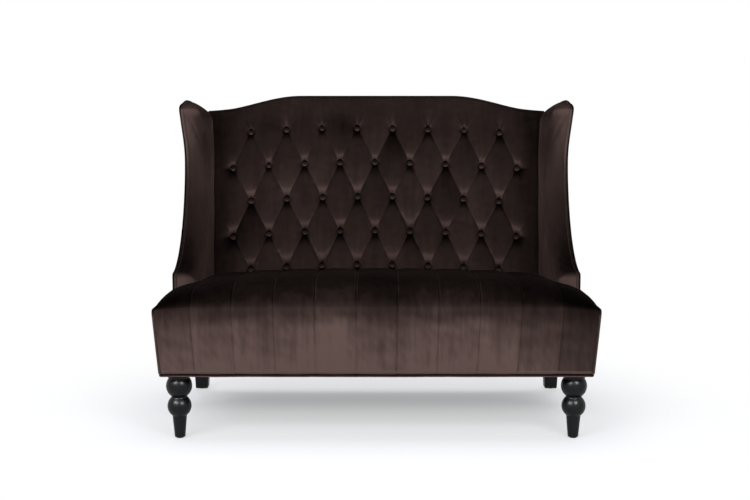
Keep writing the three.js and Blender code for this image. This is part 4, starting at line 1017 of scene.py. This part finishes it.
def side_boxing():
    foot, top = SEAT_UNDER + HEM + GAP, SEAT_EDGE - WELT - GAP
    zs = np.linspace(foot + 0.0097, top - 0.006, 24)
    zs = np.r_[foot, foot + 0.0012, foot + 0.0037, zs, top - 0.002, top]
    share = np.r_[0, 0.002, 0.006, np.linspace(0.015, 0.985, 80), 0.995, 1]
    z = zs[:, None] + 0 * share
    rear = back_plane_y(PANEL_INSIDE, z)
    # At the top its front edge runs back round the welt's bend.
    eased = 0.0095
    start = FRONT + FRONT_BULGE + WELT + GAP + np.clip(z - (top - eased), 0, eased)
    y = start + (rear - start) * share
    inside = np.minimum(np.minimum(z - foot, top - z), np.minimum(y - start, rear - y)) + 0.0006
    thick = 0.0076 * rolled(inside, 0.006)
    thick = thick + 0.0009 * ripple(y, z, 81, 0.3, 2) * smoothstep(inside / 0.03)
    inner = seat_half(z) - 0.008
    front = np.stack([inner + np.maximum(thick, 0.001), y, z], -1)
    back = np.stack([inner, y, z], -1)
    both_sides("side_boxing_velvet", shell(front, back), PANEL_VELVET, "{}_side_boxing")
    # The turned-in top behind the cover, beside the wing.
    ys = np.linspace(PAD_REAR - 0.004, back_plane_y(PANEL_INSIDE, top) - 0.0005, 30)
    ledge_x = np.array([WING_HALF - 0.005, WING_HALF, 0.622, 0.628, 0.634, 0.6375])
    lift = np.array([-0.004, 0.002, 0.006, 0.0065, 0.004, 0.0])
    y, x = np.meshgrid(ys, ledge_x, indexing="ij")
    front = np.stack([x, y, top + lift + 0 * y], -1)
    back = np.stack([x, y, top - 0.007 + 0 * y], -1)
    both_sides("side_boxing_ledge", shell(front, back), PANEL_VELVET, "{}_side_boxing")


def seat_welt():
    r = WELT / 2
    y0, z0, bend = FRONT + FRONT_BULGE + r, SEAT_EDGE - r, 0.014
    rise = np.linspace(SEAT_UNDER + HEM, z0 - bend, 60)
    turn = np.linspace(0, math.pi / 2, 14)[1:-1]
    back = np.linspace(y0 + bend, back_plane_y(-PANEL, z0) - 2 * GAP, 160)
    y = np.r_[np.full_like(rise, y0), y0 + bend * (1 - np.cos(turn)), back]
    z = np.r_[rise, z0 - bend + bend * np.sin(turn), np.full_like(back, z0)]
    path = np.stack([seat_half(z) - r + GAP, y, z], 1)
    both_sides("seat_welt_cord", cord(path, r, RIGHT, 14, 0.05, 91), TRIM, "{}_seat_welt")


def base_hem():
    r = HEM / 2
    x0, y0, z0, bend = BASE_HALF - r, FRONT + FRONT_BULGE + r, SEAT_UNDER + r, 0.006
    side = np.linspace(back_plane_y(-PANEL, z0) - 2 * GAP, y0 + bend, 110)
    turn = np.linspace(0, math.pi / 2, 10)[1:-1]
    across = np.linspace(-x0 + bend, x0 - bend, 300)
    corner_x, corner_y = x0 - bend * (1 - np.cos(turn)), y0 + bend * (1 - np.sin(turn))
    x = np.r_[np.full_like(side, -x0), -corner_x, across, corner_x[::-1], np.full_like(side, x0)]
    y = np.r_[side, corner_y, np.full_like(across, y0), corner_y[::-1], side[::-1]]
    z = z0 + 0.0007 * ripple(x, y, 95, 0.16, 2)
    shape = cord(np.stack([x, y, z], 1), r, UP, 12, 0.05, 96)
    piece("base_hem_cord", shape, VELVET, "base_hem")


# Legs


def ball(radius, height, low, high):
    """Part of a ball's profile between two heights."""
    ends = [math.asin((end - height) / radius) for end in (low, high)]
    turns = np.linspace(*ends, 20)
    return [(radius * math.cos(t), height + radius * math.sin(t)) for t in turns]


def front_legs():
    upper, lower, neck = 0.038, 0.035, 0.023
    upper_z, lower_z = 0.1555, 0.0954
    foot, top, foot_end = 0.0158, 0.0210, 0.008
    taper_top = lower_z - math.sqrt(lower**2 - top**2)
    profile = [(0.0142, LEG_FOOT), (0.0151, 0.0036), (0.0156, 0.0050), (foot, foot_end)]
    for s in np.linspace(0.1, 0.97, 9):
        profile.append((foot + (top - foot) * s, foot_end + (taper_top - 0.0085) * s))
    lower_neck = lower_z + math.sqrt(lower**2 - neck**2)
    upper_neck = upper_z - math.sqrt(upper**2 - neck**2)
    profile += ball(lower, lower_z, taper_top + 0.0004, lower_neck - 0.0006)
    profile += [(neck - 0.0004, (lower_z + upper_z) / 2 - 0.0012)]
    profile += ball(upper, upper_z, upper_neck + 0.0006, 0.1795)
    profile += [(0.0305, 0.1800), (0.0325, 0.1815), (0.0328, 0.1860), (0.0328, 0.1918)]
    shape = lathe(profile, (0.5775, FRONT + 0.060))
    both_sides("front_leg_turned", shape, EBONY, "{}_front_leg")


def rear_legs():
    outer_x, top_rear, rake, chamfer = 0.626, BACK_FOOT - 0.002, 0.046, 0.004
    foot_width, top_width, foot_deep, top_deep = 0.042, 0.060, 0.041, 0.048
    rows = []
    for s in np.r_[0, 0.012, np.linspace(0.05, 1, 12)]:
        width = foot_width + (top_width - foot_width) * s
        deep = foot_deep + (top_deep - foot_deep) * s
        rear = top_rear + rake * (1 - s)
        z = LEG_FOOT + (SEAT_UNDER - GAP - LEG_FOOT) * s
        bevel = 0.0018 if s == 0 else 0.0
        x1, x0 = outer_x - bevel, outer_x - width + bevel
        y1, y0 = rear - bevel, rear - deep + bevel
        ring = []
        for cx, cy, start in ((x1, y0, -90), (x1, y1, 0), (x0, y1, 90), (x0, y0, 180)):
            mx = cx - chamfer if cx == x1 else cx + chamfer
            my = cy + chamfer if cy == y0 else cy - chamfer
            for a in (0, 22.5, 45, 67.5, 90):
                turn = math.radians(start + a)
                ring.append((mx + chamfer * math.cos(turn), my + chamfer * math.sin(turn), z))
        rows.append(ring)
    both_sides("rear_leg_tapered", tube(np.array(rows)), EBONY, "{}_rear_leg")


back_cover()
buttons()
back_edge_welt()
back_top_corner()
outer_back()
wing_pad()
wing_outer()
wing_welt()
seat_cover()
side_boxing()
seat_welt()
base_hem()
front_legs()
rear_legs()

# The solids that stay get a material each.
slots = {row["node"]: row["material_slot"] for row in frame["record"]["subparts"]}
for name, solid in frame["nodes"].items():
    shade = INNER.get(slots[name])
    if shade is not None:
        solid.data.materials.clear()
        solid.data.materials.append(shade)


# Floor, background and light


def seen_rays(tree):
    """1 for the rays that show the background: to the camera, in a reflection or through glass."""
    ray = node(tree, "ShaderNodeLightPath")
    shown = math_node(tree, "MAXIMUM", ray.outputs["Is Camera Ray"], ray.outputs["Is Glossy Ray"])
    return math_node(tree, "MAXIMUM", shown, ray.outputs["Is Transmission Ray"])


def floor():
    made, tree, shader = material("studio_floor")
    tree.nodes.remove(shader)
    matt = node(tree, "ShaderNodeBsdfDiffuse", Color=(0.84, 0.87, 0.93, 1))
    white = node(tree, "ShaderNodeEmission", Color=(1, 1, 1, 1), Strength=1.0)
    place = node(tree, "ShaderNodeNewGeometry").outputs["Position"]
    reach = node(tree, "ShaderNodeVectorMath", operation="LENGTH", Vector=place)
    rearwards = axis(tree, place, "Y")

    def lift(source, start, end, most):
        ends = {"From Min": start, "From Max": end, "To Min": FLOOR_LIFT, "To Max": most}
        curve = {"interpolation_type": "SMOOTHSTEP", "Value": source}
        return node(tree, "ShaderNodeMapRange", **curve, **ends).outputs["Result"]

    # Away from the object the floor passes into the plain white background, and under it the
    # floor's shadow is painted lighter towards the rear and towards the front.
    lifted = lift(reach.outputs["Value"], 0.40, 1.30, 1.0)
    lifted = math_node(tree, "MAXIMUM", lifted, lift(rearwards, 0.20, 0.33, 0.58))
    lifted = math_node(tree, "MAXIMUM", lifted, lift(rearwards, 0.17, -0.10, 0.55))
    share = math_node(tree, "MULTIPLY", lifted, seen_rays(tree))
    mix_shaders(tree, share, matt, white, tree.nodes["Material Output"])
    corners = np.array([(-1, -1, 0), (1, -1, 0), (1, 1, 0), (-1, 1, 0)]) * FLOOR_HALF
    mesh = mesh_of("floor", corners, [(0, 1, 2, 3)])
    mesh.materials.append(made)
    added("floor", mesh)


def world():
    made = bpy.data.worlds.new("studio")
    scene.world = made
    made.use_nodes = True
    tree = made.node_tree
    tree.nodes.clear()
    out = tree.nodes.new("ShaderNodeOutputWorld")
    soft = node(tree, "ShaderNodeBackground", Color=(1, 1, 1, 1), Strength=0.55)
    seen = node(tree, "ShaderNodeBackground", Color=(1, 1, 1, 1), Strength=1.0)
    mix_shaders(tree, seen_rays(tree), soft, seen, out)


def lamp(name, place, target, size, power, gloss_only=False):
    light = bpy.data.lights.new(name, "AREA")
    light.shape = "RECTANGLE"
    light.size, light.size_y = size
    light.energy = power
    obj = added(name, light)
    obj.location = place
    obj.rotation_euler = (Vector(target) - Vector(place)).to_track_quat("-Z", "Y").to_euler()
    obj.visible_diffuse = not gloss_only


def camera():
    data = bpy.data.cameras.new("camera")
    data.sensor_width = SENSOR
    data.lens = SENSOR * FOCAL_PIXELS / PICTURE_WIDTH
    obj = added("camera", data)
    obj.location = CAMERA_PLACE
    obj.rotation_euler = (math.radians(90 - CAMERA_DOWN), 0, 0)
    scene.camera = obj


floor()
world()
lamp("key_left", (-1.7, -2.6, 2.3), (-0.2, 0, 0.5), (2.2, 1.0), 54)
lamp("key_right", (1.3, -2.7, 2.3), (0.2, 0, 0.5), (1.1, 0.8), 36)
lamp("top", (0, 0.1, 3.0), (0, 0, 0), (2.6, 1.8), 40)
# The lamps' bright cores, which only the lacquer shows.
lamp("glint_left", (-2.1, -2.6, 2.35), (0, 0, 0.2), (2.0, 1.1), 220, gloss_only=True)
lamp("glint_right", (1.4, -2.8, 2.2), (0, 0, 0.2), (0.9, 0.8), 125, gloss_only=True)
camera()
scene.view_settings.view_transform = "Standard"
